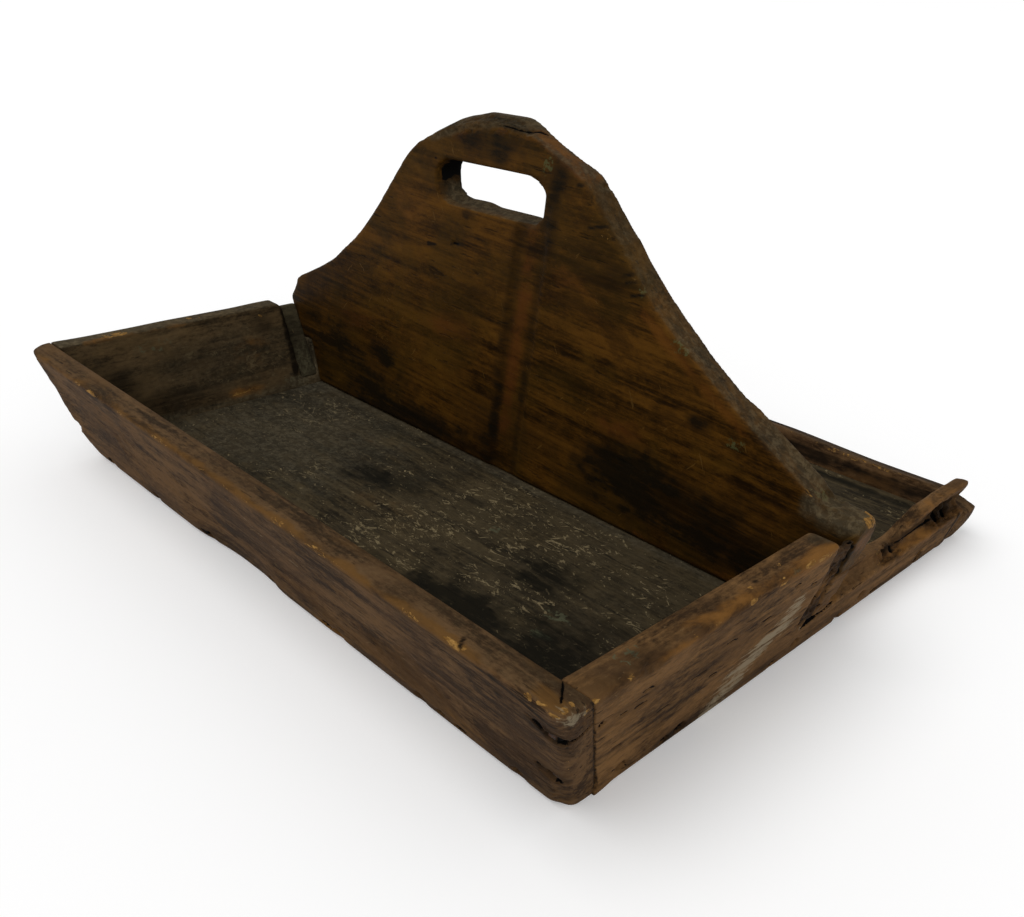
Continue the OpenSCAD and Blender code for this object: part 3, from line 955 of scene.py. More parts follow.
frontSide = {
    "voxel": 1.4, "seed": 11, "chipDepth": 0.5, "onRim": True,
    "fine": [((270, -226, 66), (24, 22, 34))],
    "kept": [(nearCorner, 13), (nearRimJoint, 7), (farCorner, 13), (farRimJoint, 7)],
    "worn": [([(-255, -201, 0), (255, -201, 0)], 5, 0.22)],
    "swells": [
        ([(-262, -206, 8), (-100, -206, 8)], 58, 5.0, (0, -1, 0)),
        ([(20, -202, 4), (256, -202, 4)], 36, 3.2, (0, -1, 0)),
        ([(-277, -233, 86), (-273, -229, 60), (-262, -214, 26)], 30, 6.2, (-0.75, -0.65, 0)),
    ],
    "cracks": [
        ([(258, -230.2, 70), (263, -229.5, 68.5), (267.5, -228.8, 67), (272, -228.8, 67),
          (273.4, -222, 68), (274.3, -213, 72.5)], 1.2, 3),
        ([(265, -229.3, 67.5), (270, -229, 67), (273.2, -226, 67)], 3.2, 4.5),
        ([(255.5, -230.8, 71.5), (262, -229.6, 68.5)], 1.7, 3),
        ([(262.3, -221, 91), (268, -227, 91), (272.6, -232.5, 91)], 0.5, 1.4),
        ([(243, -214, 31.5), (247.5, -212.8, 28.6)], 1.3, 2.5),
        ([(253, -211.6, 26.8), (257.5, -211, 25.5)], 1.9, 3),
    ],
    "holes": [
        ((-228, -203, 6), (4, 4, 2.6), 1.0), ((-82, -202, 6), (4.5, 4, 2.6), 1.0),
        ((64, -203, 7), (5, 3, 3), 2.0), ((167, -203, 7), (3.5, 3, 2.6), 2.0),
        ((182, -202, 5), (5, 3, 2.4), 2.0),
    ],
    "dents": [
        ((-120, -220, 50), (60, 12, 20), 0.5), ((150, -215, 35), (50, 10, 16), 0.5),
        ((264, -231, 73), (12, 6, 3), 0.7), ((251, -212, 28), (6, 5, 3), 0.8),
    ],
    "bare": onFace("Y", -239, 4, [
        (-187, 90, 8, 3.5, 0.9), (-164, 89, 12, 4, 1.0), (-143, 88, 7, 3, 0.8),
        (-62, 90, 24, 4, 0.8), (-30, 89, 9, 3, 0.6), (-4, 89.5, 18, 3.5, 0.6),
        (74, 90, 16, 4, 0.72), (112, 89, 26, 4, 0.76), (140, 90, 7, 3, 0.7),
        (183, 90, 14, 4, 0.82), (259, 90, 4, 4, 0.9),
    ]) + [
        ((212, -239, 90), (11, 6, 5), 0.95), ((267, -238, 91), (5, 3, 3), 0.95),
        ((274, -238, 88), (5, 4, 3), 1.0), ((276, -234, 91), (3, 3, 3), 0.9),
        ((275, -229, 91), (3, 3, 2.5), 0.9), ((278, -224, 86), (3, 4, 3), 0.9),
        ((278, -229, 79), (3, 3, 3), 0.8),
        ([(-200, -239, 89), (-40, -239, 89), (130, -239, 89), (250, -239, 89)], 3.6, 0.6),
        ((219, -236, 91), (5, 4, 3), 0.8),
        ([(273, -229, 63), (268, -221, 48), (263, -212, 32)], 3.5, 0.62),
    ],
    # amber band along the rim's rounded outer edge: worn finish and painted highlight
    "amber": [
        ([(-276, -236, 88), (-230, -239, 88), (-195, -239, 88)], 6, 0.6),
        ([(-190, -239, 88.5), (-136, -239, 88.5)], 10, 0.95),
        ([(-136, -239, 88.5), (20, -239, 88.5)], 8, 0.95),
        ([(20, -239, 88.5), (168, -239, 88.5)], 8, 0.9),
        ([(168, -239, 89), (226, -239, 89)], 9, 0.95), ((266, -231, 91), (16, 10, 5), 0.95),
        ([(60, -203, 7), (150, -205, 9), (262, -206, 10)], 12, 0.75),
    ],
    "grime": [
        # dark lines just under the rim's rolled edge: painted shade beneath the rim's lip
        ([(-205, -238, 85.5), (-20, -238, 85.5), (130, -238, 85.5), (240, -237.5, 85)], 2.6, 0.62),
        ([(236, -237.5, 85.5), (254, -236, 82), (268, -234, 79), (276, -230, 80)], 3.4, 0.95),
        # darkening in and around the near corner's cracks and cavities: painted shade
        ((236, -231, 74), (7, 5, 4), 0.7), ((264, -229, 68), (20, 12, 9), 0.9),
        ((267, -229.5, 69), (13, 10, 6), 1.0), ((272, -226, 60), (14, 14, 26), 0.45),
        ((250, -214, 36), (36, 8, 20), 0.4), ((250, -212, 28), (18, 9, 8), 0.95),
        ((130, -212, 28), (60, 6, 6), 0.45), ((20, -224, 55), (60, 8, 10), 0.25),
        ((-228, -204, 4), (9, 6, 5), 0.6), ((-82, -203, 4), (9, 5, 5), 0.6),
        (nearCorner, 1.5, 1.0), ([(218, -240, 91), (214, -232, 91)], 1.8, 0.9),
    ],
    "pale": [
        # a pale line just under the rim is a painted highlight
        ([(-180, -235, 82), (-90, -235, 82)], 3, 0.42),
        ([(0, -234, 80), (30, -225, 59), (64, -223, 53)], 1.2, 1.0),
        ((278.5, -231, 86.5), (13, 12, 12), 1.0), ([(90, -216, 38), (210, -214, 33)], 14, 0.35),
    ],
}

nearEnd = {
    "voxel": 1.25, "seed": 23, "along": "Y", "onRim": True,
    "fine": [
        ((255, 166, 36), (12, 30, 14)), ((257, 92, 29), (9, 22, 8)), ((261, 4, 22), (6, 26, 7)),
    ],
    "kept": [(nearCorner, 12), (nearRimJoint, 6), ([(262, 182, 20), (258, 176, 0)], 8)],
    "moves": [
        ((257, 190, 46), (14, 20, 13), (1.0, 4.0, 1.2)),
        ((253.5, -182, 0), (14, 9, 11), (0, -3.0, -1.2)),
    ],
    "swells": [
        ((272, -30, 78), (30, 14, 34), 3.6, (0, 1, 0)),
        ((266, -26, 56), (24, 14, 24), 4.8, (0, 1, 0)),
        ([(254, -180, 3), (254, 190, 3)], 26, 1.4, (1, 0, 0)),
        ([(256, 132, 46), (257, 186, 46)], 9, 1.6, (1, 0, 0.3)),
    ],
    "worn": [
        ((270, -28, 91), (18, 5, 4), 0.22),
        ([(250, 100, 33), (254, 130, 44), (255, 190, 47)], 8, 0.75),
        ([(254, -180, 0), (254, 190, 0)], 4, 0.2),
    ],
    "cracks": [
        ([(260.1, -18.5, 22.4), (260.6, -9.8, 24), (260.7, 1, 24.6), (261.5, 20, 27)], 1.35, 2.8),
        ([(260.2, -17.5, 22.6), (260.6, -9, 24), (260.7, -1, 24.6)], 2.4, 3.6),
        ([(263.5, -11, 33), (263.6, -5, 35)], 1.1, 2.5),
        ([(270, -15, 58), (266, -14, 44)], 1.0, 2),
        ([(253.4, 104, 29.5), (253.2, 135, 29.8), (253.6, 152, 30)], 1.1, 1.6),
        ([(256.5, 184, 38), (256, 192, 41)], 1.3, 2), ([(276, -64, 77), (276, -58, 77)], 0.8, 1.0),
        ([(273, -42, 68), (273, -36, 67)], 0.8, 1.0),
        ([(271.5, -83, 62), (271, -71, 61)], 0.8, 1.0),
        ([(272, -119, 65), (271, -104, 62)], 0.7, 0.9),
        ([(271, -184, 61), (271, -173, 60)], 0.7, 0.9),
        ([(263, -188, 33.5), (263, -178, 34)], 0.7, 0.9),
        ([(257, -176, 12), (256, -162, 7)], 0.8, 1.0),
        ([(272, -193, 63), (272, -187, 63)], 0.7, 0.9),
        ([(265, -156, 41), (265, -145, 41)], 0.7, 0.8),
        ([(265, -116, 40), (265, -108, 40)], 0.7, 0.8),
        ([(274, -182, 71), (274, -170, 69)], 0.6, 0.8),
        ([(268, -140, 52), (268, -122, 50)], 0.6, 0.7),
    ],
    "holes": [
        ((255, -135, 6), (4, 3.5, 3.5), 3.0), ((255.5, -122, 7.5), (4, 6, 3.5), 3.2),
        ((255, -36, 4), (4, 5, 3.5), 3.2), ((254.5, 36, 3), (4, 5, 3.5), 3.0),
        ((254.7, 79, 4), (3, 4, 3), 2.0), ((255, 137, 4), (4, 5, 3.5), 2.4),
        ((273, -206, 66), (2.5, 2.5, 2.5), 2.4), ((254.6, 160, 31), (4, 5, 3.5), 3.6),
        ((254.4, 173, 30), (3.5, 4, 3), 3.2), ((254.4, 97, 28.6), (3, 4, 3), 2.8),
    ],
    "rotted": [
        ((255, 165, 34), (9, 29, 10), 3.9), ((257, 94, 29), (8, 20, 7), 3.1),
        ((262, 20, 30), (6, 26, 6), 1.4),
    ],
    "dents": [((281, -181, 90), (7, 10, 5), 2.0), ((258, 100, 27), (5, 40, 4), 1.0)],
    "bare": onFace("X", 280, 4, [
        (-220, 89, 5, 4, 1.0), (-196, 90, 4, 4, 1.0), (-176, 90, 4, 3, 0.6), (-152, 90, 3, 3, 0.9),
        (-134, 89, 5, 3, 0.85), (-123, 88, 4, 3, 0.75), (-107, 89, 5, 4, 1.0),
        (-81, 88, 6, 3, 0.9), (-57, 89, 7, 3.5, 1.0),
    ]) + onFace("Z", 91, 3, [
        (281, -211, 3, 4, 0.65), (279, -82, 3, 4, 0.8), (269, -74, 4, 5, 0.75),
        (276, -74, 3, 4, 0.7), (276, -65, 3, 4, 0.7), (273, -101, 2.5, 5, 0.85),
    ]) + [
        ((279, -44, 88), (4, 7, 3), 0.9), ((279, -35, 86), (3, 4, 3), 0.8),
        # a thin light line along the broken ledge's front edge: bare wood and painted highlight
        ([(260.5, 30, 24.3), (258.6, 82, 27), (260.4, 110, 26.6), (261, 152, 26),
          (260.4, 190, 26.5)], 2.2, 0.66),
        ((253.7, 81, 32), (3, 4, 2.6), 0.9), ((248, 121, 42), (3, 5, 3), 0.8),
        ((256, 186, 46), (5, 8, 4), 0.7),
    ],
    "amber": [
        # amber band along the rim's rounded outer edge: worn finish and painted highlight
        ([(277, -215, 91), (277, -195, 91)], 9, 0.85),
        ([(280, -190, 88), (280, -160, 89)], 5, 0.6),
        ([(274, -150, 91), (277, -120, 91), (278, -96, 91)], 9, 0.9),
        ([(278, -96, 91), (277, -70, 91), (276, -52, 91), (276, -34, 91)], 9, 0.95),
        ([(280, -160, 88), (280, -34, 88)], 4, 0.65),
        ([(262, 6, 32), (262, 60, 32), (258, 90, 30)], 9, 0.7),
        ([(258, 100, 27), (259, 190, 27)], 7, 0.85), ([(254, 118, 42), (256, 186, 46)], 7, 0.5),
    ],
    "grime": onFace("Z", 91, 3, [
        (264, -129, 3, 9, 0.6), (271, -127, 4, 6, 0.65), (271, -95, 3, 4, 0.8),
        (266, -59, 5, 9, 0.6), (271, -28, 6, 7, 0.6), (268, -205, 5, 6, 0.6),
        (270, -34, 10, 9, 0.5),
    ]) + [
        ((279, -181, 89), (13, 17, 9), 1.0), ((274, -187, 91), (9, 13, 4), 0.9),
        ((255.5, -128, 7), (9, 24, 9), 0.95), ((262, -150, 30), (12, 60, 16), 0.22),
        ((268, -140, 56), (12, 70, 18), 0.2), (nearCorner, 1.5, 1.0), (backJoint, 3, 1.0),
        ((256, -108, 8), (5, 16, 8), 0.5), ((257, -46, 8), (8, 46, 9), 0.62),
        ((257, 34, 8), (6, 20, 8), 0.6), ((254.7, 110, 5), (5, 60, 6), 0.5),
        ((255, 164, 33), (13, 33, 12), 1.0), ((257, 94, 29), (11, 26, 9), 0.95),
        ([(252, 104, 31), (254, 135, 34), (256, 190, 36)], 4, 0.6),
        ([(259, 28, 19), (258, 110, 18), (259, 190, 19)], 3, 0.5),
        ([(264, -12, 36), (276, -14, 80)], 5, 0.5),
        # dark line just under the rim's rolled edge: painted shade beneath the rim's lip
        ([(280, -205, 85), (280, -100, 85), (280, -36, 85)], 2.2, 0.5),
        ((270, 26, 56), (4, 4, 4), 0.4),
    ],
    "pale": [
        ([(253.4, -99, 0), (258.5, -84, 17), (263, -69, 33), (267, -46, 46)], 25, 1.0),
        ([(256, -95, 8), (261, -78, 26), (265, -60, 39)], 13, 1.0),
        ([(264, -60, 36), (269, -40, 52)], 4, 0.8),
        ([(280, -30, 91), (277, -23, 82), (272, -20, 63), (266, -18, 43), (260, -20, 23)],
          1.6, 0.85),
        ((246, 100, 33), (5, 40, 4), 0.5),
    ],
    "dust": [((272, -30, 91), (16, 13, 3), 0.6)],
    "rusty": [((266, 10, 34), (6, 14, 6), 0.3)],
    "green": [((279, -70, 91), (4, 6, 4), 0.8), ((269, -188, 91), (9, 11, 4), 0.66)],
}

farEnd = {
    "voxel": 1.5, "seed": 31, "along": "Y", "onRim": True,
    "kept": [(farCorner, 12), (farRimJoint, 7)],
    "swells": [((-262, -30, 60), (30, 12, 50), 1.5, (0, 1, 0))],
    "cracks": [([(-247, -28, 30), (-262, -28.5, 84)], 1.2, 1.5)],
    "worn": [((-266, -31, 91), (14, 6, 6), 0.6), ([(-255, -180, 0), (-255, 180, 0)], 5, 0.3)],
    "chips": [((-246, -90, 55), (20, 120, 50), 1.0), ((-243, -86, 30), (14, 30, 14), 0.6)],
    "bare": [
        ((-266, -176, 91), (8, 20, 4), 0.85), ((-268, -110, 91), (8, 14, 4), 0.7),
        ((-243, -80, 27), (5, 16, 2.6), 0.9), ((-242, -97, 24), (5, 14, 2.4), 0.7),
        ((-256, -196, 84), (6, 6, 4), 0.5), ((-258, -52, 84), (6, 3, 2.5), 0.8),
        ((-252, -104, 58), (6, 4, 2.5), 0.7), ((-255, -150, 66), (6, 4, 2), 0.7),
        ((-254, -128, 62), (6, 4, 2), 0.6),
    ],
    "amber": [
        ([(-262, -200, 91), (-262, -120, 91)], 5, 0.55), ((-243, -80, 28), (6, 30, 8), 0.6),
        ((-252, -68, 56), (10, 34, 22), 0.45),
    ],
    "grime": [
        ((-245, -146, 32), (16, 56, 20), 0.62), ((-249, -184, 52), (16, 34, 40), 0.55),
        ((-252, -120, 60), (14, 110, 30), 0.3), ((-254, -50, 78), (14, 24, 16), 0.5),
        # a dark line along the filler strip's edge is painted shadow in the gap; the patch beside
        # it is darker where the strip meets the carry board
        ([(-244, -29, 28), (-262, -29, 90)], 5, 1.0), ((-252, -10, 50), (12, 8, 16), 0.9),
    ],
    "pale": [
        ((-257, -82, 88), (6, 50, 5), 0.45), ((-253, -104, 62), (10, 26, 14), 0.35),
        ((-253, -173, 63), (10, 8, 10), 0.4),
    ],
    "dust": [
        ((-246, -24, 24), (18, 22, 14), 1.0), ((-252, -12, 40), (20, 14, 44), 1.0),
        ((-252, -100, 56), (14, 120, 40), 0.3), ([(-243, -170, 21), (-243, -40, 21)], 5, 0.7),
    ],
    "green": [((-256, -150, 78), (6, 30, 8), 0.6), ((-246, -30, 26), (14, 16, 10), 0.7)],
}

backSide = {
    "voxel": 1.3, "seed": 43,
    "moves": [
        ([(-20, 205, 32), (104, 205, 32)], 80, (0, 0, 2.6)),
        ((260, 202, 14), (20, 20, 24), (3.0, 2.4, 0)),
    ],
    "worn": [
        ([(-280, 212, 30), (280, 212, 30)], 6, 0.4), ([(-260, 196, 34), (250, 196, 34)], 5, 0.25),
        ((250, 205, 15), (20, 20, 22), 0.3),
    ],
    "bare": [
        ([(60, 195, 33.5), (230, 195, 33)], 2.6, 0.6),
        ([(140, 195, 33.5), (200, 195, 33)], 3, 0.78),
    ],
    "grime": [
        ([(-250, 190, 26), (250, 190, 26)], 7.5, 0.98),
        ([(-250, 206, 32), (250, 206, 30)], 9, 0.55), (backJoint, 3, 1.0),
    ],
}

carryBoard = {
    "voxel": 1.6, "seed": 57, "edgeRound": 0.05, "chipDepth": 0.5,
    "fine": [
        ((-32, -2, 262), (62, 18, 13)), ((262, -2, 88), (22, 14, 16)),
        ((-74, 0, 222), (16, 18, 20)),
    ],
    "moves": [
        ((60, 0, 238), (40, 60, 34), (2.6, 0, 3.4)),
        ((124, -8, 182), (48, 14, 44), (-1.6, 0, -1.6)),
        ([(62, 14, 238), (92, 14, 210)], 20, (2.0, 0, 2.0)),
        ([(104, 14, 196), (146, 14, 160)], 18, (0.7, 0, 0.7)),
        ([(197, 14, 124), (212, 14, 114), (240, 14, 102)], 15, (1.5, 0, 2.1)),
        ((-65, 12, 209), (12, 16, 8), (1.0, 0, 3.2)),
        ([(-196, 0, 158), (-152, 0, 186), (-104, 0, 224)], 26, (-2.4, 0, 2.4)),
        ([(-24, 8, 270), (2, 8, 267)], 22, (0, 0, 2.2)),
        ((-76, 13, 222), (22, 19, 24), (7.0, 0, 0)),
        ([(-68, 13, 214), (-40, 13, 207)], 15, (1.4, 0, 2.0)),
        ([(-50, 10, 207), (10, 10, 207)], 14, (0, 0, 1.6)),
        ([(-60, -8, 238), (20, -8, 238)], 14, (0, 0, -1.0)),
        ((29, -6, 236), (13, 17, 11), (-4.0, 0, -3.0)), ((32, 0, 214), (12, 26, 24), (-2.6, 0, 0)),
        ((29, 4, 208), (8, 18, 7), (-2.0, 0, 2.0)), ((274, 12, 74), (12, 11, 24), (0, 4.5, 0)),
    ],
    "drops": [(-98, 0), (-84, 4), (-72, 5), (-50, 4.6), (-18, 3.6), (-2, 3.0), (10, 2.0), (20, 0)],
    "dropDepth": 15,
    "worn": [
        ([(-80, -8, 254), (-50, -8, 264), (-10, -8, 268)], 6, 0.25),
        ([(20, -8, 260), (60, -8, 240), (100, -8, 206)], 4, 0.3), ((268, -8, 93), (14, 6, 9), 0.9),
        ((280, 4, 93), (9, 14, 8), 0.5), ((-274, -8, 100), (8, 8, 10), 0.6),
        ([(-76, 11, 214), (-76, 11, 230)], 5, 0.3),
    ],
    "shaves": [((266, -5, 91.5), (0, -0.72, 0.7), (20, 12, 14))],
    "cracks": [
        ([(-58, -8, 179.4), (-51, -8, 180.6)], 0.9, 1.4),
        ([(-10, -8, 267.4), (4, -8, 266), (10, -5, 265.5), (17, 3, 262.6), (20, 6, 262)],
          1.1, 1.8),
    ],
    "rotted": [([(-56, -6, 262), (-30, -6, 267), (8, -5, 266)], 9, 1.6)],
    "holes": [
        # the two holes with no depth, at the handle slot's left end, only paint the slot's wall
        # near-black: painted shade
        ((275, -7, 78), (3, 3, 2.4), 1.8), ((-77, 5, 233), (7, 13, 12), 0),
        ((-73, 7, 237), (10, 13, 5), 0), ((272, -8, 70), (4, 3, 3), 2.2),
        ((269, -7, 60), (4, 3, 4), 2.0),
    ],
    "dents": [
        ((68, 10, 233), (4, 7, 3), 0.8), ((255, 4, 96), (7, 9, 5), 2.4),
        ((266, -1, 97), (6, 4, 4), 0.8),
    ],
    "bare": [
        ((279, 6, 92), (9, 10, 8), 1.0), ((276, 8, 94), (6, 7, 6), 1.0),
        ([(279, 9, 88), (276, 11, 76), (270, 11, 60)], 4, 0.8), ((56, -8, 243), (5, 3, 5), 0.5),
        ((84, -8, 212), (6, 3, 4), 0.6), ([(100, -8, 196), (122, -8, 178)], 2.5, 0.5),
        ((245, -8, 100), (6, 3, 3), 0.8), ((-190, -8, 88), (4, 2, 2), 0.6),
        ((-186, -8, 80), (3, 2, 2), 0.7),
    ],
    "amber": [
        ((-10, -8, 262), (10, 3, 5), 0.6), ((276, 2, 78), (8, 12, 20), 0.6),
        ([(14, -8, 262), (30, -8, 258)], 5, 0.6),
        ([(18, 2, 262), (40, 2, 252), (58, 2, 240)], 11, 0.75),
        ([(24, -8, 182), (90, -8, 176)], 14, 0.4),
        ([(120, -8, 172), (150, -8, 148), (200, -8, 118)], 5, 0.5),
        ([(40, -8, 160), (60, -8, 110)], 12, 0.3),
        # the golden strip low on the face, towards the near end, is painted light bounced from the
        # floor
        ([(130, -8, 24), (190, -8, 23), (226, -8, 28)], 4.5, 0.85),
        ((-110, -8, 200), (40, 3, 20), 0.4),
    ],
    "rusty": onFace("Y", -8, 3, [
        (52, 178, 30, 14, 0.5), (110, 92, 34, 16, 0.6), (-60, 118, 50, 22, 0.4),
        (-170, 92, 70, 24, 0.5), (-50, 255, 14, 8, 0.4),
    ]) + [
        ([(23, -7, 204), (11, -7, 130), (-1, -7, 57)], 12, 0.6),
        ([(17, -7, 186), (6, -7, 100)], 7, 0.62),
        ([(28, -4, 259), (42, -5, 252), (58, -6, 242)], 7, 0.8),
        ([(120, -8, 172), (170, -8, 138), (215, -8, 110)], 6, 0.45),
    ],
    # the large soft patches low on the face are painted shade: the face turns darker towards the
    # bottom
    "grime": onFace("Y", -8, 8, [
        (128, 56, 84, 38, 1.0), (110, 66, 40, 24, 1.0), (172, 46, 90, 42, 0.85),
        (215, 42, 50, 26, 0.8), (90, 40, 60, 18, 0.5), (-140, 67, 20, 11, 1.0),
        (-152, 74, 36, 14, 0.85), (-206, 64, 60, 18, 0.9), (-180, 44, 130, 50, 0.65),
        (-120, 28, 150, 26, 0.85), (-210, 90, 60, 34, 0.35), (-38, 251, 22, 18, 0.72),
        (-12, 251, 25, 18, 0.8), (-25, 246, 22, 9, 0.5), (10, 250, 12, 8, 0.4),
        (169, 116, 14, 8, 0.85), (-16, 30, 18, 24, 0.85), (96, 192, 18, 9, 0.5),
        (66, 190, 20, 8, 0.35), (-245, 76, 46, 56, 0.62), (-44, 203, 12, 6, 0.5),
        (-210, 60, 90, 60, 0.62), (-235, 120, 70, 40, 0.35), (0, 60, 120, 44, 0.35),
    ]) + [
        ([(-66, -2, 262), (-30, -2, 270), (8, -2, 267)], 12, 0.5),
        # dark edges on both sides of the red-brown strip down the face: painted shade of a shallow
        # groove
        ([(12, -7, 206), (-4, -7, 110), (-15, -7, 22)], 11, 0.46),
        ([(-6, -7, 86), (-15, -7, 22)], 9, 0.75),
        ([(34, -7, 206), (20, -7, 110), (9, -7, 22)], 8, 0.5),
        ([(70, -8, 213), (88, -8, 218)], 2, 0.8), ([(101, -8, 191), (112, -8, 195)], 2.4, 0.95),
        ([(105, -8, 187.5), (115, -8, 191)], 2, 0.9), ([(110, -8, 181), (120, -8, 184)], 1.8, 0.8),
        ([(-86, -8, 174.5), (-77, -8, 175)], 1.8, 0.8),
        ([(-60, -8, 179), (-47, -8, 181)], 2.2, 0.9), ((59, -8, 235), (6, 5, 4), 0.6),
        ([(36, -7, 196), (38, -7, 222), (43, -7, 240)], 11, 0.55),
        # the first darkens the handle slot's left wall as painted shade; the second, a dark line
        # along the foot, is the painted shadow of the gap under the board
        ((-78, 12, 229), (26, 31, 30), 1.0), ([(-230, -8, 21), (230, -8, 21)], 3, 0.6),
        ((273, -6, 72), (7, 7, 20), 0.7), ([(-266, -8, 24), (-272, -8, 96)], 5, 0.6),
    ],
    "dust": [
        ([(-80, -6, 252), (-50, -6, 263), (-14, -6, 268), (8, -4, 267)], 6, 0.75),
        ((266, 0, 96), (24, 18, 10), 1.0),
        ([(248, -8, 92), (256, -8, 88.5), (267, -8, 88.5), (275, -8, 93)], 9, 1.0),
        ((-262, -8, 34), (8, 4, 20), 0.4),
        ([(-72, 4, 214), (-60, 4, 208), (30, 4, 208)], 11, 0.95),
    ],
    "green": onFace("Y", -8, 3, [
        (152, 160, 14, 8, 0.72), (196, 111, 12, 6, 0.8), (33, 246, 6, 8, 0.85),
        (-262, 40, 8, 22, 0.6),
    ]) + [
        ((118, -8, 188), (4, 4, 12), 0.7), ((262, -2, 95), (18, 16, 8), 0.5),
        ((250, 2, 100), (12, 12, 6), 0.7),
    ],
    "pale": [
        ((90, -8, 205), (22, 3, 22), 0.3),
        ([(84, -8, 216), (104, -8, 200), (122, -8, 180)], 2.5, 0.6),
        ((-30, -8, 187), (3, 2, 5), 0.7),
    ],
}

frontFloor = {
    "voxel": 1.8, "seed": 71, "ridges": 0.3, "waves": 0.7,
    "chips": onFace("Z", 20, 6, [
        (60, -110, 150, 90, 0.75), (130, -70, 110, 60, 0.7), (150, -140, 90, 60, 0.6),
        (-60, -120, 110, 60, 0.5), (-160, -90, 110, 90, 0.5),
    ]),
    "grime": onFace("Z", 20, 6, [
        (122, -88, 40, 26, 1.0), (120, -146, 70, 26, 0.95), (190, -150, 84, 60, 0.95),
        (226, -120, 40, 90, 0.9), (-56, -86, 38, 22, 0.95), (-20, -76, 20, 8, 0.5),
        (196, -96, 30, 12, 0.6), (70, -160, 90, 20, 0.5),
    ]) + [
        ((0, -179, 20), (240, 8, 5), 0.5), ((-120, -150, 20), (70, 14, 5), 0.4),
    ],
    "dust": [
        ((-236, -20, 20), (34, 36, 8), 1.0), ((-230, -80, 20), (18, 90, 5), 0.45),
        ([(-230, -11, 20), (225, -11, 20)], 7, 0.6), ((-160, -90, 20), (150, 120, 6), 0.7),
    ],
    "green": [
        ((164, -133, 20), (11, 6, 3), 0.95), ((158, -112, 20), (14, 8, 3), 0.8),
        ((60, -70, 20), (9, 6, 3), 0.7), ((-236, -20, 20), (20, 24, 6), 0.6),
    ],
    "amber": [((-10, -110, 20), (60, 26, 5), 0.2), ((-120, -60, 20), (40, 20, 5), 0.2)],
}

backFloor = {
    "voxel": 1.8, "seed": 83, "ridges": 0.3, "waves": 0.7,
    "dust": [((0, 90, 20), (260, 90, 6), 0.6)],
    "green": [((210, 60, 20), (60, 70, 6), 0.45)],
    "grime": [([(-240, 178, 20), (240, 178, 20)], 8, 0.7), ((230, 120, 20), (20, 60, 5), 0.35)],
}

farFiller = {
    "voxel": 0.9, "seed": 91, "along": "Y", "edgeRound": 0.2,
    "dust": [((-262, -18, 88), (30, 20, 10), 0.6), ((-250, -18, 32), (24, 24, 30), 0.9)],
    "green": [((-250, -18, 36), (30, 20, 22), 0.3)],
    "grime": [
        # dark lines along the strip's two edges: painted shadow in the gaps beside it; the patch
        # low down is darker where it meets the carry board
        ([(-244, -27, 28), (-262, -28, 90)], 4.5, 1.0),
        ([(-250, -8, 56), (-262, -8, 90)], 4.5, 1.0), ((-250, -9, 50), (10, 7, 18), 0.9),
    ],
}
nearFiller = {
    "voxel": 0.9, "seed": 93, "along": "Y", "edgeRound": 0.3,
    "rotted": [((270, -18, 60), (30, 20, 60), 2.2)],
    "cracks": [
        ([(277, -12, 88), (272, -11, 76)], 1.6, 4), ([(273, -16, 66), (268, -15, 54)], 1.4, 4),
        ([(268, -20, 48), (262, -20, 34)], 1.2, 3), ([(260, -26, 22), (260, -10, 24)], 2.0, 3),
    ],
    "amber": [((268, -14, 52), (12, 10, 24), 0.4)],
}

sidePaint = woodPaint("sideBoardWood", sideLook)
endPaint = woodPaint("endBoardWood", endLook)
floorPaint = woodPaint("floorBoardWood", floorLook)
dividerPaint = woodPaint("carryBoardWood", dividerLook)
fillerPaint = woodPaint("fillerStripWood", fillerLook)
rottenPaint = woodPaint("decayedStripWood", rottenLook)
farEndPaint = woodPaint("farEndWood", farEndLook)
print("wood finishes are mixed")

wornBoard("frontSideBoard", "side_front", sidePaint, frontSide)
wornBoard("backSideBoard", "side_back", sidePaint, backSide)
wornBoard("nearEndBoard", "end_right", endPaint, nearEnd)
wornBoard("farEndBoard", "end_left", farEndPaint, farEnd)
wornBoard("carryBoard", "divider", dividerPaint, carryBoard)
wornBoard("frontFloorBoard", "floor_front", floorPaint, frontFloor)
wornBoard("backFloorBoard", "floor_back", floorPaint, backFloor)
wornBoard("farFillerStrip", "filler_left", fillerPaint, farFiller)
wornBoard("nearFillerStrip", "filler_right", rottenPaint, nearFiller)
print("boards are worn and painted")


# Cut nails

cutNail = {
    "Head width": 5.4,
    "Head depth": 1.5,
    "Shank length": 44.6,
    "Root width": 3.5,
    "Tip width": 1.3,
    "Thickness share": 0.6,
    "Seed": 5,
}
headTaper = 0.74
nailVary = {"least": (0.9, 0.9, 0.97), "most": (1.0, 1.0, 1.0)}

nailLook = {
    "dark": (38, 33, 30),
    "rust": (84, 52, 32),
    "glint": (96, 92, 88),
    "cloud": (700, 4.0, 0.65, 0.4),
    "cloudFade": (0.38, 0.62),
    "grain": (2600, 3.0, 0.6, 0.0),
    "grainFade": (0.55, 0.7),
    "grainRelief": 0.4,
    "metal": 0.55,
    "rough": (0.3, 0.7, 0.5, 0.85),
    "bump": 0.5,
    "bumpDistance": 0.0003,
}


def nailIron():
    look = nailLook
    sheet = PaintSheet("nailIronRust")
    cloud = sheet.noise(sheet.place, *look["cloud"])
    grain = sheet.noise(sheet.place, *look["grain"])
    rusted = sheet.ramp(cloud, *look["cloudFade"])
    tone = sheet.mix(rusted, shade(*look["dark"]), shade(*look["rust"]))
    tone = sheet.mix(sheet.ramp(grain, *look["grainFade"]), tone, shade(*look["glint"]))
    surface = sheet.surface.inputs
    sheet.feed(surface["Base Color"], tone)
    surface["Metallic"].default_value = look["metal"]
    sheet.feed(surface["Roughness"], sheet.ramp(cloud, *look["rough"]))
    sheet.emboss(cloud + grain * look["grainRelief"], look["bump"], look["bumpDistance"])
    return sheet.material


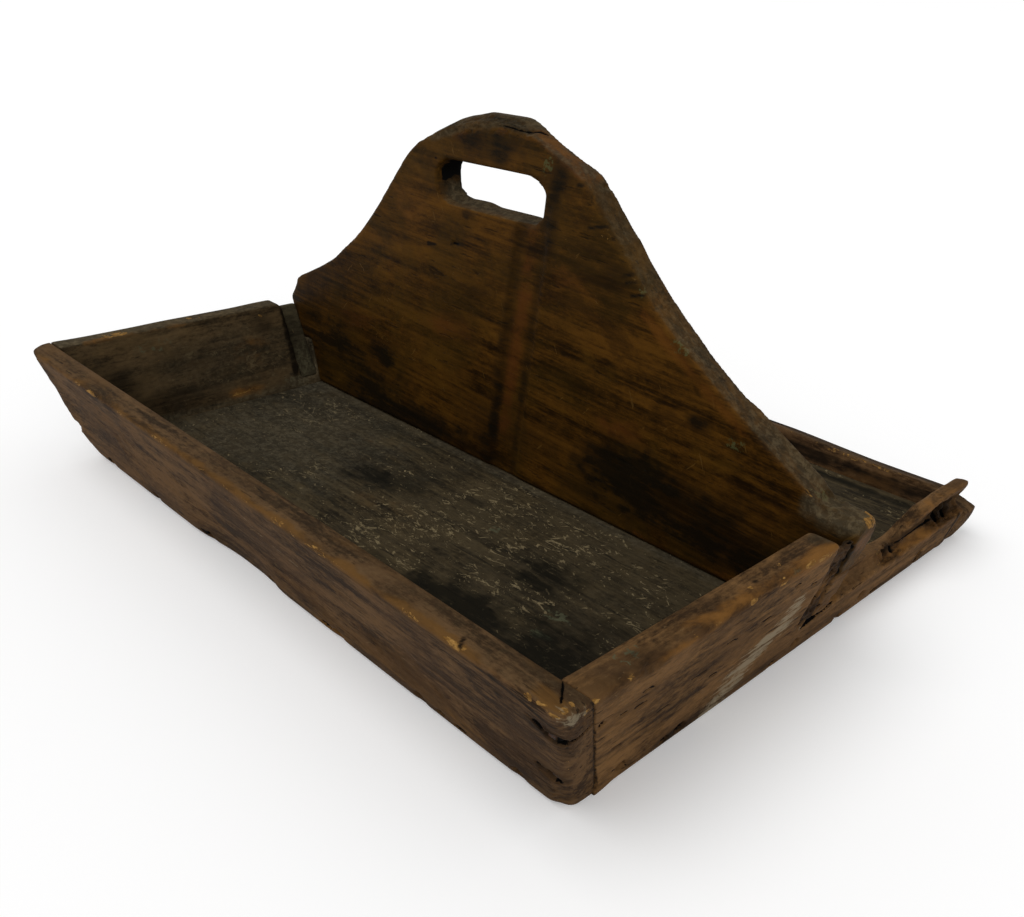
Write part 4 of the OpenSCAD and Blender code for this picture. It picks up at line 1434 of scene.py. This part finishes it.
def nailTree(iron):
    tree = bpy.data.node_groups.new("cutNailRow", "GeometryNodeTree")
    sockets = tree.interface
    sockets.new_socket("Heads", in_out="INPUT", socket_type="NodeSocketGeometry")
    for key in cutNail:
        kind = "NodeSocketInt" if key == "Seed" else "NodeSocketFloat"
        sockets.new_socket(key, in_out="INPUT", socket_type=kind)
    sockets.new_socket("Nails", in_out="OUTPUT", socket_type="NodeSocketGeometry")
    sheet = NodeSheet(tree)
    given = tree.nodes.new("NodeGroupInput").outputs

    def scaled(key, factor):
        return sheet.add("ShaderNodeMath", {0: given[key], 1: factor}, operation="MULTIPLY")

    def taper(outer, inner, depth):
        # four sides, from one width to another, turned so that they face along X and Y
        sizes = {"Vertices": 4, "Radius Top": inner, "Radius Bottom": outer, "Depth": depth}
        cone = sheet.add("GeometryNodeMeshCone", sizes, "Mesh", fill_type="NGON")
        turn = (0, 0, math.radians(45))
        return sheet.add("GeometryNodeTransform", {"Geometry": cone, "Rotation": turn})

    halfDiagonal = math.sqrt(0.5) * mm
    crown = scaled("Head width", halfDiagonal)
    head = taper(scaled("Head width", halfDiagonal * headTaper), crown, scaled("Head depth", mm))
    root, tip = scaled("Root width", halfDiagonal), scaled("Tip width", halfDiagonal)
    shank = taper(root, tip, scaled("Shank length", mm))
    scale = {0: 1.0, 1: given["Thickness share"], 2: 1.0}
    thin = sheet.add("ShaderNodeCombineXYZ", scale)
    start = sheet.add("ShaderNodeCombineXYZ", {2: scaled("Head depth", mm)})
    inputs = {"Geometry": shank, "Scale": thin, "Translation": start}
    placed = sheet.add("GeometryNodeTransform", inputs)
    whole = tree.nodes.new("GeometryNodeJoinGeometry")
    for piece in (head, placed):
        sheet.links.new(piece, whole.inputs[0])
    vectors = {"data_type": "FLOAT_VECTOR"}
    aim = sheet.add("GeometryNodeInputNamedAttribute", {"Name": "aim"}, **vectors)
    facing = sheet.add("FunctionNodeAlignRotationToVector", {"Vector": aim}, axis="Z")
    inputs = {0: nailVary["least"], 1: nailVary["most"], "Seed": given["Seed"]}
    vary = sheet.add("FunctionNodeRandomValue", inputs, **vectors)
    inputs = {"Points": given["Heads"], "Instance": whole.outputs[0]}
    inputs.update(Rotation=facing, Scale=vary)
    spread = sheet.add("GeometryNodeInstanceOnPoints", inputs)
    real = sheet.add("GeometryNodeRealizeInstances", {0: spread})
    painted = sheet.add("GeometryNodeSetMaterial", {"Geometry": real, "Material": iron})
    sheet.feed(tree.nodes.new("NodeGroupOutput").inputs[0], painted)
    return tree


def islands(mesh):
    # the corners of each loose piece of a mesh
    left = set(mesh.verts)
    while left:
        waiting = [min(left, key=lambda vert: vert.index)]
        left.discard(waiting[0])
        island = []
        while waiting:
            vert = waiting.pop()
            island.append(vert.co.copy())
            for link in vert.link_edges:
                other = link.other_vert(vert)
                if other in left:
                    left.discard(other)
                    waiting.append(other)
        yield np.array(island)


def nailHeads(node):
    # head centre and aim of each nail in one of the frame's rows
    work = merged(node)
    heads = []
    for corners in islands(work):
        low, high = corners.min(0), corners.max(0)
        axis = int(np.argmax(high - low))
        across = np.delete(corners, axis, axis=1)
        lowEnd = across[corners[:, axis] < low[axis] + mm]
        highEnd = across[corners[:, axis] > high[axis] - mm]
        headFirst = np.ptp(lowEnd, axis=0).sum() > np.ptp(highEnd, axis=0).sum()
        centre = (low + high) / 2
        centre[axis] = low[axis] if headFirst else high[axis]
        aim = np.zeros(3)
        aim[axis] = 1 if headFirst else -1
        heads.append((centre, aim))
    work.free()
    return heads


def nailRow(name, node, tree):
    heads = nailHeads(node)
    mesh = bpy.data.meshes.new(name + "Heads")
    mesh.from_pydata([tuple(place) for place, aim in heads], [], [])
    data = mesh.attributes.new("aim", "FLOAT_VECTOR", "POINT")
    for index, (place, aim) in enumerate(heads):
        data.data[index].vector = tuple(aim)
    points = bpy.data.objects.new(name + "Heads", mesh)
    scene.collection.objects.link(points)
    drive = points.modifiers.new("nails", "NODES")
    drive.node_group = tree
    for item in tree.interface.items_tree:
        if item.in_out == "INPUT" and item.name in cutNail:
            drive[item.identifier] = cutNail[item.name]
    made = evaluated(points)
    made.name = name
    nails = bpy.data.objects.new(name, made)
    scene.collection.objects.link(nails)
    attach(nails, "root")
    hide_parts(node)
    print("nails", name, len(heads))


nailRows = {
    "frontFarCornerNails": "corner_nails_front_left",
    "frontNearCornerNails": "corner_nails_front_right",
    "backFarCornerNails": "corner_nails_back_left",
    "backNearCornerNails": "corner_nails_back_right",
    "frontFloorNails": "floor_nails_front",
    "backFloorNails": "floor_nails_back",
    "farFloorNails": "floor_nails_left",
    "nearFloorNails": "floor_nails_right",
    "carryBoardNails": "divider_nails",
}
rowTree = nailTree(nailIron())
for rowName, nodeName in nailRows.items():
    nailRow(rowName, nodeName, rowTree)
print("nails are driven")
